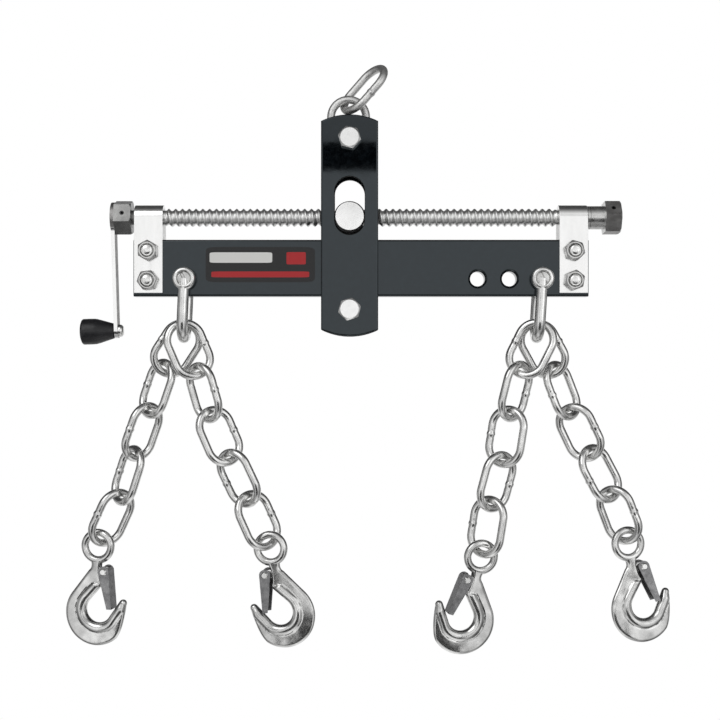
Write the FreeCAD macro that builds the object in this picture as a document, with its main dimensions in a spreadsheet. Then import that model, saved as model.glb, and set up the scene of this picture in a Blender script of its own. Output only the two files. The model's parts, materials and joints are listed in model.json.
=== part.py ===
"""Engine load leveler: a slotted carriage that a screw moves along a beam, with four hook chains.

Frame: +Z up, +X to the right along the beam, -Y to the front. The origin is the middle of the
upper lifting link, where a crane's hook goes. Lengths are in millimetres and angles in degrees.
"""
import FreeCAD, Part
import math
import os

from FreeCAD import Matrix, Placement, Rotation, Vector

SIZES = {
    # Beam, a flat bar below the screw
    "beam_length": 400.0,
    "beam_height": 50.0,
    "beam_thickness": 16.0,
    "beam_edge_radius": 2.0,
    "beam_drop": 20.0,
    "hole_diameter": 13.0,
    "hole_chamfer": 2.0,
    "hole_rise": 15.5,
    "left_hole_inset": 45.5,
    "right_hole_inset": 41.5,
    "hole_pitch": 28.0,
    # Straps over the screw's journals, and the blocks inside them
    "strap_width": 25.0,
    "strap_thickness": 3.0,
    "strap_inset": 1.0,
    "strap_end_rise": 3.0,
    "strap_bolt_diameter": 10.0,
    "strap_bolt_flats": 16.0,
    "strap_bolt_upper_drop": 10.0,
    "strap_bolt_lower_drop": 36.0,
    "block_clearance": 0.05,
    # Screw, its hexagons and the crank
    "thread_diameter": 16.0,
    "journal_diameter": 13.0,
    "journal_clearance": 0.05,
    "thread_end_play": 0.5,
    "hub_flats": 27.0,
    "hub_length": 14.8,
    "hub_gap": 3.0,
    "hub_corner_lift": 43.0,
    "drive_hex_length": 14.0,
    "drive_corner_lift": 5.0,
    "collar_diameter": 20.5,
    "collar_length": 12.5,
    "washer_thickness": 2.4,
    "washer_play": 0.4,
    "cross_pin_diameter": 4.0,
    "cross_pin_wall": 0.9,
    "arm_thickness": 3.2,
    "arm_width": 13.0,
    "arm_lean": 1.7,
    "crank_reach": 100.0,
    "grip_length": 30.0,
    "grip_diameter": 22.8,
    "grip_neck_diameter": 13.0,
    "grip_cylinder_length": 10.5,
    "grip_dome": 3.5,
    "grip_play": 0.4,
    "grip_bore_clearance": 0.08,
    "rivet_diameter": 8.0,
    "rivet_shank_diameter": 6.0,
    "rivet_head_diameter": 11.0,
    "rivet_head_height": 4.5,
    # Carriage plates, their bolts and sleeves, and the cross nut
    "carriage_offset": -10.0,
    "plate_width": 50.0,
    "plate_thickness": 6.0,
    "plate_gap": 18.0,
    "plate_top_rise": 89.0,
    "plate_bottom_drop": 105.0,
    "plate_end_radius": 57.0,
    "plate_edge_radius": 1.6,
    "slot_width": 26.6,
    "slot_top_rise": 35.0,
    "slot_bottom_drop": 16.5,
    "top_bolt_rise": 68.0,
    "bottom_bolt_drop": 81.5,
    "carriage_bolt_diameter": 12.0,
    "carriage_bolt_flats": 18.0,
    "carriage_washer_diameter": 24.0,
    "carriage_washer_thickness": 2.5,
    "bolt_hole_clearance": 0.3,
    "sleeve_diameter": 16.0,
    "trunnion_diameter": 25.6,
    "trunnion_recess": 1.0,
    "thread_clearance": 0.2,
    # Chain links, all alike
    "link_wire": 7.0,
    "link_width": 38.0,
    "link_length": 55.5,
    "link_play": 0.8,
    "lower_link_shift": -1.0,
    "lower_link_slack": 0.6,
    "upper_link_lean": -41.0,
    "upper_link_roll": 59.0,
    "upper_link_overlap": 9.4,
    "upper_link_shift": -2.3,
    # Shackles
    "shackle_stock": 10.0,
    "shackle_jaw": 20.0,
    "shackle_eye_diameter": 20.0,
    "shackle_reach": 51.5,
    "left_shackle_lean": -2.5,
    "right_shackle_lean": -3.5,
    "shackle_pin_diameter": 12.0,
    "shackle_pin_clearance": 0.1,
    "shackle_pin_collar": 19.0,
    "shackle_pin_collar_height": 4.0,
    "shackle_pin_tab": 5.0,
    "chain_row": 6.2,
    # Hooks, latches, rivets and springs
    "eye_radius": 12.2,
    "eye_wire": 6.6,
    "throat_drop": 56.0,
    "throat_shift": 0.4,
    "throat_radius": 11.7,
    "bead_radius": 5.0,
    "hook_plate_thickness": 6.6,
    "hook_edge_radius": 2.4,
    "hook_outer_radius": 29.0,
    "hook_outer_drop": 59.3,
    "hook_outer_shift": -2.0,
    "hook_tip_out": 23.4,
    "hook_tip_drop": 50.5,
    "hook_tip_radius": 3.7,
    "latch_pivot_out": 7.2,
    "latch_pivot_drop": 22.1,
    "latch_length": 33.0,
    "latch_sheet": 1.2,
    "latch_inside": 10.8,
    "latch_pivot_radius": 5.0,
    "latch_tip_width": 4.6,
    "latch_rivet_diameter": 4.0,
    "latch_rivet_clearance": 0.08,
    "latch_rivet_head": 6.4,
    "lug_thickness": 5.6,
    "spring_wire": 0.8,
}

# Each chain from its shackle down, as it hangs in the photo. A tilt moves a link's bottom to the
# right and a roll turns its right side to the front. "slacks" is how far each link is from hanging
# straight down at full stretch, and "eye" where the hook's eye is from the last link's foot. A row of
# -1 is in front.
CHAINS = {
    "ll": {"shackle": "left", "row": 1, "slacks": (2.5, 0.8, 0, 0, 0.2),
           "tilts": (-33, -18.7, -19.3, -17.6, -24.4), "rolls": (-18, 45, -52, 50, -45),
           "eye": (-3.6, -6.6), "hook_tilt": 0.5, "hook_turn": 12, "opens": 1},
    "lr": {"shackle": "left", "row": -1, "slacks": (2.7, 0.3, 0.1, 0, 0),
           "tilts": (23, 16, 23.3, 25.2, 24.1), "rolls": (-18, 45, -35, 36, -38),
           "eye": (2.8, -6.1), "hook_tilt": 9, "hook_turn": 12, "opens": -1},
    "rl": {"shackle": "right", "row": -1, "slacks": (2.9, 0.6, 0, 0.1, 0.1),
           "tilts": (-26.4, -14, -9, -15, -9), "rolls": (18, -46, 34, -36, 40),
           "eye": (-2.2, -6.4), "hook_tilt": -18, "hook_turn": -12, "opens": -1},
    "rr": {"shackle": "right", "row": 1, "slacks": (2.3, 0.3, 0, 0, 0.1),
           "tilts": (28.5, 20.9, 25.3, 27.8, 20.7), "rolls": (18, -45, 34, -36, 40),
           "eye": (0.7, -6.5), "hook_tilt": 14, "hook_turn": -12, "opens": 1},
}

X_AXIS = Vector(1, 0, 0)
Y_AXIS = Vector(0, 1, 0)
Z_AXIS = Vector(0, 0, 1)

doc = FreeCAD.newDocument("engine_load_leveler")
sheet = doc.addObject("Spreadsheet::Sheet", "Sizes")
for row, (alias, value) in enumerate(SIZES.items(), 1):
    sheet.set(f"A{row}", alias)
    sheet.set(f"B{row}", str(value))
    sheet.setAlias(f"B{row}", alias)
doc.recompute()

nodes = {}


def mm(alias):
    """A size from the sheet, as a plain number."""
    return float(sheet.get(alias))


# Helpers that make bound primitives and join them

def frame_of(x_dir, y_dir, z_dir, origin):
    """A placement from its three axis directions and its origin."""
    return Placement(Matrix(x_dir.x, y_dir.x, z_dir.x, origin.x,
                            x_dir.y, y_dir.y, z_dir.y, origin.y,
                            x_dir.z, y_dir.z, z_dir.z, origin.z))


def along(direction, origin):
    """A placement whose Z axis lies along a direction."""
    return Placement(origin, Rotation(Z_AXIS, direction))


def make(kind, name, placement, **expressions):
    """A document object with its properties bound to the sheet."""
    thing = doc.addObject(kind, name)
    for prop, text in expressions.items():
        thing.setExpression(prop, text)
    thing.Placement = placement
    return thing


def cylinder(name, placement, diameter, height):
    """A cylinder along its own Z, from expressions for its diameter and height."""
    return make("Part::Cylinder", name, placement, Radius=f"({diameter}) / 2", Height=height)


def hexagon(name, placement, flats, height):
    """A hexagonal prism along its own Z, sized across its flats."""
    prism = make("Part::Prism", name, placement, Circumradius=f"({flats}) / sqrt(3)", Height=height)
    prism.Polygon = 6
    return prism


def block(name, placement, length, width, height):
    """A box from its own corner."""
    return make("Part::Box", name, placement, Length=length, Width=width, Height=height)


def ring(name, placement, radius, wire, turn=360):
    """A torus, or part of one, about its own Z."""
    torus = make("Part::Torus", name, placement, Radius1=radius, Radius2=f"({wire}) / 2")
    torus.Angle3 = turn
    return torus


def fuse(name, *pieces):
    """One solid from several."""
    joined = doc.addObject("Part::MultiFuse", name)
    joined.Shapes = list(pieces)
    joined.Refine = True
    return joined


def common(name, first, second):
    """What two solids share."""
    shared = doc.addObject("Part::Common", name)
    shared.Base, shared.Tool = first, second
    return shared


def cut(name, base, *tools):
    """A solid with one or more others taken out."""
    result = doc.addObject("Part::Cut", name)
    result.Base = base
    result.Tool = tools[0] if len(tools) == 1 else fuse(name + "_tools", *tools)
    return result


def rounded(name, base, radius, wanted):
    """A solid with the edges that a test picks rounded off."""
    doc.recompute()
    result = doc.addObject("Part::Fillet", name)
    result.Base = base
    result.Edges = [(i, radius, radius) for i, e in enumerate(base.Shape.Edges, 1) if wanted(e)]
    return result


def group(name, *pieces):
    """Several separate solids in one node."""
    bundle = doc.addObject("Part::Compound", name)
    bundle.Links = list(pieces)
    return bundle


def shape(name, solid, placement=Placement()):
    """A feature for a form that no primitive or sketch gives."""
    feature = doc.addObject("Part::Feature", name)
    feature.Shape = solid
    feature.Placement = placement
    return feature


def keep(node, piece):
    """Name a finished sub-part."""
    piece.Label = node
    nodes[node] = piece


# Places that several pieces share, from the sheet. The screw's axis over the beam's middle is the
# working zero, and eye_from_screw is the lifting eye above it.

link_half = (mm("link_length") - mm("link_wire")) / 2
link_radius = (mm("link_width") - mm("link_wire")) / 2


def link_axes(tilt, roll):
    """A link's sideways, upward and face directions. A tilt moves its bottom to the right, and a
    roll turns its right side to the front."""
    t, r = math.radians(tilt), math.radians(roll)
    up = Vector(-math.sin(t), 0, math.cos(t))
    level = Vector(math.cos(t), 0, math.sin(t))
    side = level * math.cos(r) - Y_AXIS * math.sin(r)
    return side, up, side.cross(up)


def lifting_places():
    """Middles of the lower and upper links, measured from the screw's axis."""
    inside = mm("sleeve_diameter") / 2 + mm("lower_link_slack") + mm("link_wire") / 2
    low_crown = Vector(mm("carriage_offset") + mm("lower_link_shift"), 0, mm("top_bolt_rise") - inside)
    lower = low_crown + Z_AXIS * link_half
    arc = lower + Z_AXIS * (link_half - link_radius)
    lean = link_axes(mm("upper_link_lean"), 0)[1]
    crown = arc + Z_AXIS * (link_radius - mm("upper_link_overlap")) + X_AXIS * mm("upper_link_shift")
    return lower, crown + lean * link_half, arc


lower_middle, upper_middle, lower_arc = lifting_places()
eye_from_screw = Vector(upper_middle)


def at(x, y, z):
    """A point given from the screw's axis, in the part's own frame."""
    return Vector(x, y, z) - eye_from_screw


beam_end = mm("beam_length") / 2
beam_half = mm("beam_thickness") / 2
beam_top = -mm("beam_drop")
beam_bottom = beam_top - mm("beam_height")
hole_level = beam_bottom + mm("hole_rise")
left_hole = -beam_end + mm("left_hole_inset")
right_hole = beam_end - mm("right_hole_inset")
strap_middle = beam_end - mm("strap_inset") - mm("strap_width") / 2
strap_face = beam_half + mm("strap_thickness")
strap_out = beam_end - mm("strap_inset")
strap_in = strap_out - mm("strap_width")
plate_in = mm("plate_gap") / 2
plate_out = plate_in + mm("plate_thickness")
carriage_x = mm("carriage_offset")


# Beam

def make_beam():
    """A flat bar with rounded edges, and four chamfered holes through it."""
    corner = at(-beam_end, -beam_half, beam_bottom)
    bar = block("bar", Placement(corner, Rotation()), "Sizes.beam_length", "Sizes.beam_thickness",
                "Sizes.beam_height")
    soft = rounded("bar_rounded", bar, mm("beam_edge_radius"), lambda e: abs(e.BoundBox.XLength) > beam_end)
    tools = []
    spots = [left_hole] + [right_hole - i * mm("hole_pitch") for i in range(3)]
    for i, x in enumerate(spots):
        front = at(x, -beam_half, hole_level)
        tools.append(cylinder(f"beam_hole_{i}", along(Y_AXIS, front), "Sizes.hole_diameter",
                              "Sizes.beam_thickness"))
        for side in (-1, 1):
            mouth = make("Part::Cone", f"beam_mouth_{i}_{'back' if side > 0 else 'front'}",
                         along(Y_AXIS * -side, at(x, side * beam_half, hole_level)),
                         Radius1="Sizes.hole_diameter / 2 + Sizes.hole_chamfer",
                         Radius2="Sizes.hole_diameter / 2", Height="Sizes.hole_chamfer")
            tools.append(mouth)
    for i, (x, z) in enumerate(strap_bolt_places()):
        tools.append(cylinder(f"beam_bolt_hole_{i}", along(Y_AXIS, at(x, -beam_half, z)),
                              "Sizes.strap_bolt_diameter + 2 * Sizes.bolt_hole_clearance",
                              "Sizes.beam_thickness"))
    keep("beam", cut("beam_drilled", soft, *tools))


def strap_bolt_places():
    """X and Z of the four strap bolts."""
    return [(side * strap_middle, beam_top - mm(drop)) for side in (-1, 1)
            for drop in ("strap_bolt_upper_drop", "strap_bolt_lower_drop")]


# Straps, blocks and their bolts

def make_strap(node, side):
    """A flat strip bent over the screw, with two bolt holes through both legs."""
    x = side * strap_middle - mm("strap_width") / 2
    foot = beam_bottom + mm("strap_end_rise")
    wide = "Sizes.beam_thickness + 2 * Sizes.strap_thickness"
    leg_height = "Sizes.beam_drop + Sizes.beam_height - Sizes.strap_end_rise"
    outer = fuse(node + "_outer",
                 cylinder(node + "_bend", along(X_AXIS, at(x, 0, 0)), wide, "Sizes.strap_width"),
                 block(node + "_legs", Placement(at(x, -strap_face, foot), Rotation()),
                       "Sizes.strap_width", wide, leg_height))
    inner = fuse(node + "_inner",
                 cylinder(node + "_hollow", along(X_AXIS, at(x, 0, 0)), "Sizes.beam_thickness",
                          "Sizes.strap_width"),
                 block(node + "_space", Placement(at(x, -beam_half, foot), Rotation()),
                       "Sizes.strap_width", "Sizes.beam_thickness", leg_height))
    holes = [cylinder(f"{node}_hole_{i}", along(Y_AXIS, at(bx, -strap_face, bz)),
                      "Sizes.strap_bolt_diameter + 2 * Sizes.bolt_hole_clearance", wide)
             for i, (bx, bz) in enumerate(strap_bolt_places()) if bx * side > 0]
    keep(node, cut(node + "_bent", outer, inner, *holes))


def make_bearing_blocks():
    """Round-topped blocks that stand on the beam inside the straps and carry the journals."""
    blocks = []
    wide = "Sizes.beam_thickness - 2 * Sizes.block_clearance"
    for side in (-1, 1):
        x = side * strap_middle - mm("strap_width") / 2
        half = beam_half - mm("block_clearance")
        body = fuse(f"block_body_{side + 1}",
                    cylinder(f"block_top_{side + 1}", along(X_AXIS, at(x, 0, 0)), wide, "Sizes.strap_width"),
                    block(f"block_foot_{side + 1}", Placement(at(x, -half, beam_top), Rotation()),
                          "Sizes.strap_width", wide, "Sizes.beam_drop"))
        bore = cylinder(f"block_bore_{side + 1}", along(X_AXIS, at(x, 0, 0)),
                        "Sizes.journal_diameter + 2 * Sizes.journal_clearance", "Sizes.strap_width")
        blocks.append(cut(f"block_{side + 1}", body, bore))
    keep("bearing_blocks", group("bearing_block_pair", *blocks))


def bolt(name, place, diameter, flats, head, length, turn):
    """A hexagon bolt: its head below the place, its domed shank along the place's Z."""
    spun = place * Placement(Vector(), Rotation(Z_AXIS, turn))
    sunk = spun * Placement(Vector(0, 0, -head), Rotation())
    head_hex = hexagon(name + "_hex", sunk, flats, str(head))
    washer_face = make("Part::Cone", name + "_crown", sunk, Radius1=f"{flats} * 0.46",
                       Radius2=f"{flats} * 0.46 + {head}", Height=str(head))
    crowned = common(name + "_head", head_hex, washer_face)
    shank = cylinder(name + "_shank", place, diameter, length)
    return fuse(name, crowned, rounded_end(name, shank))


def rounded_end(name, shank):
    """A shank with the far end's edge rounded."""
    doc.recompute()
    top = max(shank.Shape.Faces, key=lambda f: shank.Placement.inverse().multVec(f.CenterOfMass).z)
    rim = top.OuterWire.Edges[0]
    dome = shank.Radius.Value * 0.4
    return rounded(name + "_domed", shank, dome,
                   lambda e: e.Length > 0 and e.isSame(rim))


def nut(name, place, diameter, flats, height, turn):
    """A hexagon nut along the place's Z, with a plain bore that clears its bolt."""
    spun = place * Placement(Vector(), Rotation(Z_AXIS, turn))
    body = hexagon(name + "_hex", spun, flats, str(height))
    crown = make("Part::Cone", name + "_crown", spun, Radius1=f"{flats} * 0.48 + {height}",
                 Radius2=f"{flats} * 0.48", Height=str(height))
    bore = cylinder(name + "_bore", spun, f"{diameter} + 2 * Sizes.block_clearance", str(height))
    return cut(name, common(name + "_body", body, crown), bore)


def make_strap_bolts():
    """Bolts through the straps from the back, with nuts at the front."""
    diameter, flats = "Sizes.strap_bolt_diameter", "Sizes.strap_bolt_flats"
    head = 0.64 * mm("strap_bolt_diameter")
    nut_height = 0.8 * mm("strap_bolt_diameter")
    length = f"2 * Sizes.strap_thickness + Sizes.beam_thickness + {nut_height} + 0.25 * {diameter}"
    bolts, nuts = [], []
    for i, (x, z) in enumerate(strap_bolt_places()):
        bolts.append(bolt(f"strap_bolt_{i}", along(-Y_AXIS, at(x, strap_face, z)), diameter, flats, head,
                          length, 17 * i))
        nuts.append(nut(f"strap_nut_{i}", along(-Y_AXIS, at(x, -strap_face, z)), diameter, flats,
                        nut_height, 30 - 23 * i))
    keep("strap_bolts", group("strap_bolt_set", *bolts))
    keep("strap_nuts", group("strap_nut_set", *nuts))


# Screw, hexagons, pins and crank

hub_in = -strap_out - mm("hub_gap")
hub_out = hub_in - mm("hub_length")
washer_in = strap_out + mm("washer_play")
collar_in = washer_in + mm("washer_thickness") + mm("washer_play") / 2
hex_in = collar_in + mm("collar_length")
hex_out = hex_in + mm("drive_hex_length")


def lifted(angle):
    """A direction square to the screw that points to the front, raised by an angle."""
    a = math.radians(angle)
    return Vector(0, -math.cos(a), math.sin(a))


def cross_pin_places():
    """Each cross pin's middle and direction, square to one of its hexagon's flats."""
    return [(at((hub_in + hub_out) / 2, 0, 0), lifted(mm("hub_corner_lift") - 30)),
            (at((hex_in + hex_out) / 2, 0, 0), lifted(mm("drive_corner_lift") + 30))]


def hexagon_place(x, corner_lift):
    """A frame along the screw that puts a hexagon's corner at an angle above the front."""
    return along(X_AXIS, at(x, 0, 0)) * Placement(Vector(), Rotation(Z_AXIS, -90 - corner_lift))


def cross_hole(name, i):
    """The hole for a cross pin, long enough to pass both flats."""
    middle, direction = cross_pin_places()[i]
    start = middle - direction * mm("hub_flats")
    return cylinder(name, along(direction, start), "Sizes.cross_pin_diameter", "2 * Sizes.hub_flats")


def make_screw():
    """The screw as its outer form: a threaded length between two plain journals."""
    play = mm("thread_end_play")
    thread = cylinder("thread", along(X_AXIS, at(-strap_in + play, 0, 0)), "Sizes.thread_diameter",
                      "Sizes.beam_length - 2 * (Sizes.strap_inset + Sizes.strap_width + Sizes.thread_end_play)")
    journal = cylinder("journal", along(X_AXIS, at(hub_out, 0, 0)), "Sizes.journal_diameter",
                       f"{hex_out - hub_out}")
    keep("lead_screw", cut("screw", fuse("screw_solid", thread, journal), cross_hole("screw_hole_left", 0),
                           cross_hole("screw_hole_right", 1)))


def make_crank_hub():
    """The left hexagon, bored for the screw's end and its cross pin."""
    place = hexagon_place(hub_out, mm("hub_corner_lift"))
    body = hexagon("hub_hex", place, "Sizes.hub_flats", "Sizes.hub_length")
    crown = make("Part::Cone", "hub_crown", place, Radius1="Sizes.hub_flats * 0.53 + Sizes.hub_length",
                 Radius2="Sizes.hub_flats * 0.53", Height="Sizes.hub_length")
    bore = cylinder("hub_bore", place, "Sizes.journal_diameter", "Sizes.hub_length")
    keep("crank_hub", cut("hub", common("hub_body", body, crown), bore, cross_hole("hub_hole", 0)))


def make_drive_hex():
    """The right collar and hexagon in one piece, bored for the screw's end and its cross pin."""
    start = along(X_AXIS, at(collar_in, 0, 0))
    collar = cylinder("drive_collar", start, "Sizes.collar_diameter", "Sizes.collar_length")
    place = hexagon_place(hex_in, mm("drive_corner_lift"))
    body = hexagon("drive_hex_body", place, "Sizes.hub_flats", "Sizes.drive_hex_length")
    crown = make("Part::Cone", "drive_hex_crown", place,
                 Radius1="Sizes.hub_flats * 0.53 + Sizes.drive_hex_length",
                 Radius2="Sizes.hub_flats * 0.53", Height="Sizes.drive_hex_length")
    bore = cylinder("drive_bore", start, "Sizes.journal_diameter",
                    "Sizes.collar_length + Sizes.drive_hex_length")
    keep("drive_hex", cut("drive", fuse("drive_solid", collar, common("drive_head", body, crown)), bore,
                          cross_hole("drive_hole", 1)))


def make_thrust_washer():
    """The washer between the right strap and the collar."""
    place = along(X_AXIS, at(washer_in, 0, 0))
    disc = cylinder("washer_disc", place, "Sizes.collar_diameter", "Sizes.washer_thickness")
    bore = cylinder("washer_bore", place, "Sizes.journal_diameter + 2 * Sizes.journal_clearance",
                    "Sizes.washer_thickness")
    keep("thrust_washer", cut("washer", disc, bore))


def make_roll_pins():
    """Slotted spring pins through the two hexagons and the screw."""
    pins = []
    for i, (middle, direction) in enumerate(cross_pin_places()):
        start = along(direction, middle - direction * (mm("hub_flats") / 2 - 0.6))
        length = f"Sizes.hub_flats - 1.2"
        tube = cylinder(f"pin_tube_{i}", start, "Sizes.cross_pin_diameter", length)
        core = cylinder(f"pin_core_{i}", start, "Sizes.cross_pin_diameter - 2 * Sizes.cross_pin_wall", length)
        slit = block(f"pin_slit_{i}", start * Placement(Vector(0, -0.4, 0), Rotation()),
                     "Sizes.cross_pin_diameter", "0.8", length)
        pins.append(cut(f"roll_pin_{i}", tube, core, slit))
    keep("roll_pins", group("roll_pin_pair", *pins))


def arm_frame():
    """The crank arm's own frame: its Z down the arm, its X away from the hub."""
    lean = math.radians(mm("arm_lean"))
    down = Vector(math.sin(lean), 0, -math.cos(lean))
    out = Vector(-math.cos(lean), 0, -math.sin(lean))
    reach = mm("hub_flats") / 2 + 1
    return frame_of(out, down.cross(out), down, at(hub_out, 0, -reach) - down * reach)


def make_crank():
    """The flat arm with round ends, its rivet, and the grip that turns on it."""
    frame = arm_frame()
    level = Rotation(Z_AXIS, X_AXIS)
    foot = frame * Placement(Vector(0, 0, mm("crank_reach")), level)
    head = along(-X_AXIS, at(hub_out, 0, 0))
    strip = block("arm_strip", frame * Placement(Vector(0, -mm("arm_width") / 2, 0), Rotation()),
                  "Sizes.arm_thickness", "Sizes.arm_width", "Sizes.crank_reach")
    round_foot = cylinder("arm_foot", foot, "Sizes.arm_width", "Sizes.arm_thickness")
    round_head = cylinder("arm_head", head, "Sizes.hub_flats", "Sizes.arm_thickness")
    hole = cylinder("arm_hole", foot, "Sizes.rivet_shank_diameter", "Sizes.arm_thickness")
    keep("crank_arm", cut("arm", fuse("arm_solid", strip, round_foot, round_head), hole))

    depth = mm("grip_length") - mm("grip_dome") - 3
    outside = foot * Placement(Vector(0, 0, mm("arm_thickness")), Rotation())
    inside = foot * Placement(Vector(0, 0, -mm("rivet_head_height")), Rotation())
    rivet_head = rounded("rivet_head_round",
                         cylinder("rivet_head", inside, "Sizes.rivet_head_diameter", "Sizes.rivet_head_height"),
                         0.7 * mm("rivet_head_height"),
                         lambda e: frame.inverse().multVec(e.CenterOfMass).x < -mm("rivet_head_height") / 2
                         and e.Closed)
    shank = cylinder("rivet_shank", foot, "Sizes.rivet_shank_diameter", "Sizes.arm_thickness")
    post = cylinder("rivet_post", outside, "Sizes.rivet_diameter", f"Sizes.grip_length - Sizes.grip_dome - 3.5")
    keep("grip_rivet", fuse("rivet", rivet_head, shank, post))

    start = foot * Placement(Vector(0, 0, mm("arm_thickness") + mm("grip_play")), Rotation())
    taper = mm("grip_length") - mm("grip_cylinder_length") - mm("grip_dome")
    neck = make("Part::Cone", "grip_taper", start, Radius1="Sizes.grip_neck_diameter / 2",
                Radius2="Sizes.grip_diameter / 2",
                Height="Sizes.grip_length - Sizes.grip_cylinder_length - Sizes.grip_dome")
    barrel = cylinder("grip_barrel", start * Placement(Vector(0, 0, taper), Rotation()),
                      "Sizes.grip_diameter", "Sizes.grip_cylinder_length")
    crown = start * Placement(Vector(0, 0, taper + mm("grip_cylinder_length")), Rotation())
    dome = make("Part::Cone", "grip_dome_cone", crown, Radius1="Sizes.grip_diameter / 2",
                Radius2="Sizes.grip_diameter / 2 - 1.6 * Sizes.grip_dome", Height="Sizes.grip_dome")
    bore = cylinder("grip_bore", start, "Sizes.rivet_diameter + 2 * Sizes.grip_bore_clearance", str(depth))
    keep("crank_grip", cut("grip", fuse("grip_solid", neck, barrel, dome), bore))


# Carriage

def make_plate(node, inner, outward):
    """A plate with arched ends, a slot for the cross nut and two bolt holes."""
    half = mm("plate_width") / 2
    arch = mm("plate_end_radius") - math.sqrt(mm("plate_end_radius") ** 2 - half ** 2)
    thick = "Sizes.plate_thickness"
    low = min(inner, inner + outward * mm("plate_thickness"))
    top, bottom = mm("plate_top_rise"), -mm("plate_bottom_drop")
    middle = block(node + "_middle", Placement(at(carriage_x - half, low, bottom + arch), Rotation()),
                   "Sizes.plate_width", thick, f"{top - bottom - 2 * arch}")
    pieces = [middle]
    for end, tip, way in (("top", top, -1), ("bottom", bottom, 1)):
        disc = cylinder(f"{node}_{end}_disc", along(Y_AXIS, at(carriage_x, low, tip + way * mm("plate_end_radius"))),
                        "2 * Sizes.plate_end_radius", thick)
        corner = at(carriage_x - half, low, tip - arch if way < 0 else tip)
        band = block(f"{node}_{end}_band", Placement(corner, Rotation()), "Sizes.plate_width", thick, f"{arch}")
        pieces.append(common(f"{node}_{end}", disc, band))
    outline = rounded(node + "_rounded", fuse(node + "_outline", *pieces), mm("plate_edge_radius"),
                      lambda e: e.BoundBox.YLength < 0.01)
    slot_low = -mm("slot_bottom_drop") + mm("slot_width") / 2
    slot_high = mm("slot_top_rise") - mm("slot_width") / 2
    slot = [block(node + "_slot", Placement(at(carriage_x - mm("slot_width") / 2, low, slot_low), Rotation()),
                  "Sizes.slot_width", thick,
                  "Sizes.slot_top_rise + Sizes.slot_bottom_drop - Sizes.slot_width")]
    for i, z in enumerate((slot_low, slot_high)):
        slot.append(cylinder(f"{node}_slot_end_{i}", along(Y_AXIS, at(carriage_x, low, z)), "Sizes.slot_width",
                             thick))
    for i, z in enumerate(carriage_bolt_levels()):
        slot.append(cylinder(f"{node}_bolt_hole_{i}", along(Y_AXIS, at(carriage_x, low, z)),
                             "Sizes.carriage_bolt_diameter + 2 * Sizes.bolt_hole_clearance", thick))
    keep(node, cut(node + "_slotted", outline, *slot))


def carriage_bolt_levels():
    """Heights of the top and bottom carriage bolts."""
    return mm("top_bolt_rise"), -mm("bottom_bolt_drop")


def make_carriage_hardware():
    """Bolts from the front, washers and nuts behind, and the two spacer sleeves between the plates."""
    diameter, flats = "Sizes.carriage_bolt_diameter", "Sizes.carriage_bolt_flats"
    head = 0.625 * mm("carriage_bolt_diameter")
    nut_height = 0.9 * mm("carriage_bolt_diameter")
    washer = mm("carriage_washer_thickness")
    length = (f"Sizes.plate_gap + 2 * Sizes.plate_thickness + Sizes.carriage_washer_thickness"
              f" + {nut_height} + 0.2 * {diameter}")
    loose = f"{diameter} + 2 * Sizes.bolt_hole_clearance"
    bolts, nuts, washers, sleeves = [], [], [], []
    for i, z in enumerate(carriage_bolt_levels()):
        bolts.append(bolt(f"carriage_bolt_{i}", along(Y_AXIS, at(carriage_x, -plate_out, z)), diameter, flats,
                          head, length, 12 + 31 * i))
        behind = along(Y_AXIS, at(carriage_x, plate_out, z))
        disc = cylinder(f"carriage_washer_disc_{i}", behind, "Sizes.carriage_washer_diameter",
                        "Sizes.carriage_washer_thickness")
        washers.append(cut(f"carriage_washer_{i}", disc,
                           cylinder(f"carriage_washer_bore_{i}", behind, loose, "Sizes.carriage_washer_thickness")))
        nuts.append(nut(f"carriage_nut_{i}", along(Y_AXIS, at(carriage_x, plate_out + washer, z)), diameter,
                        flats, nut_height, 20 + 17 * i))
        inside = along(Y_AXIS, at(carriage_x, -plate_in, z))
        tube = cylinder(f"sleeve_tube_{i}", inside, "Sizes.sleeve_diameter", "Sizes.plate_gap")
        sleeves.append(cut(f"sleeve_{i}", tube, cylinder(f"sleeve_bore_{i}", inside, loose, "Sizes.plate_gap")))
    keep("carriage_bolts", group("carriage_bolt_pair", *bolts))
    keep("carriage_nuts", group("carriage_nut_pair", *nuts))
    keep("carriage_washers", group("carriage_washer_pair", *washers))
    keep("spacer_sleeves", group("spacer_sleeve_pair", *sleeves))


def make_trunnion_nut():
    """The round cross nut: it turns in both plates' slots, and the screw goes through it."""
    half = plate_out - mm("trunnion_recess")
    barrel = cylinder("trunnion_barrel", along(Y_AXIS, at(carriage_x, -half, 0)), "Sizes.trunnion_diameter",
                      "Sizes.plate_gap + 2 * (Sizes.plate_thickness - Sizes.trunnion_recess)")
    bore = cylinder("trunnion_bore", along(X_AXIS, at(carriage_x - mm("trunnion_diameter"), 0, 0)),
                    "Sizes.thread_diameter + 2 * Sizes.thread_clearance", "2 * Sizes.trunnion_diameter")
    soft = rounded("trunnion_rounded", barrel, 0.8, lambda e: e.Closed)
    keep("trunnion_nut", cut("trunnion", soft, bore))


# Links

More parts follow.
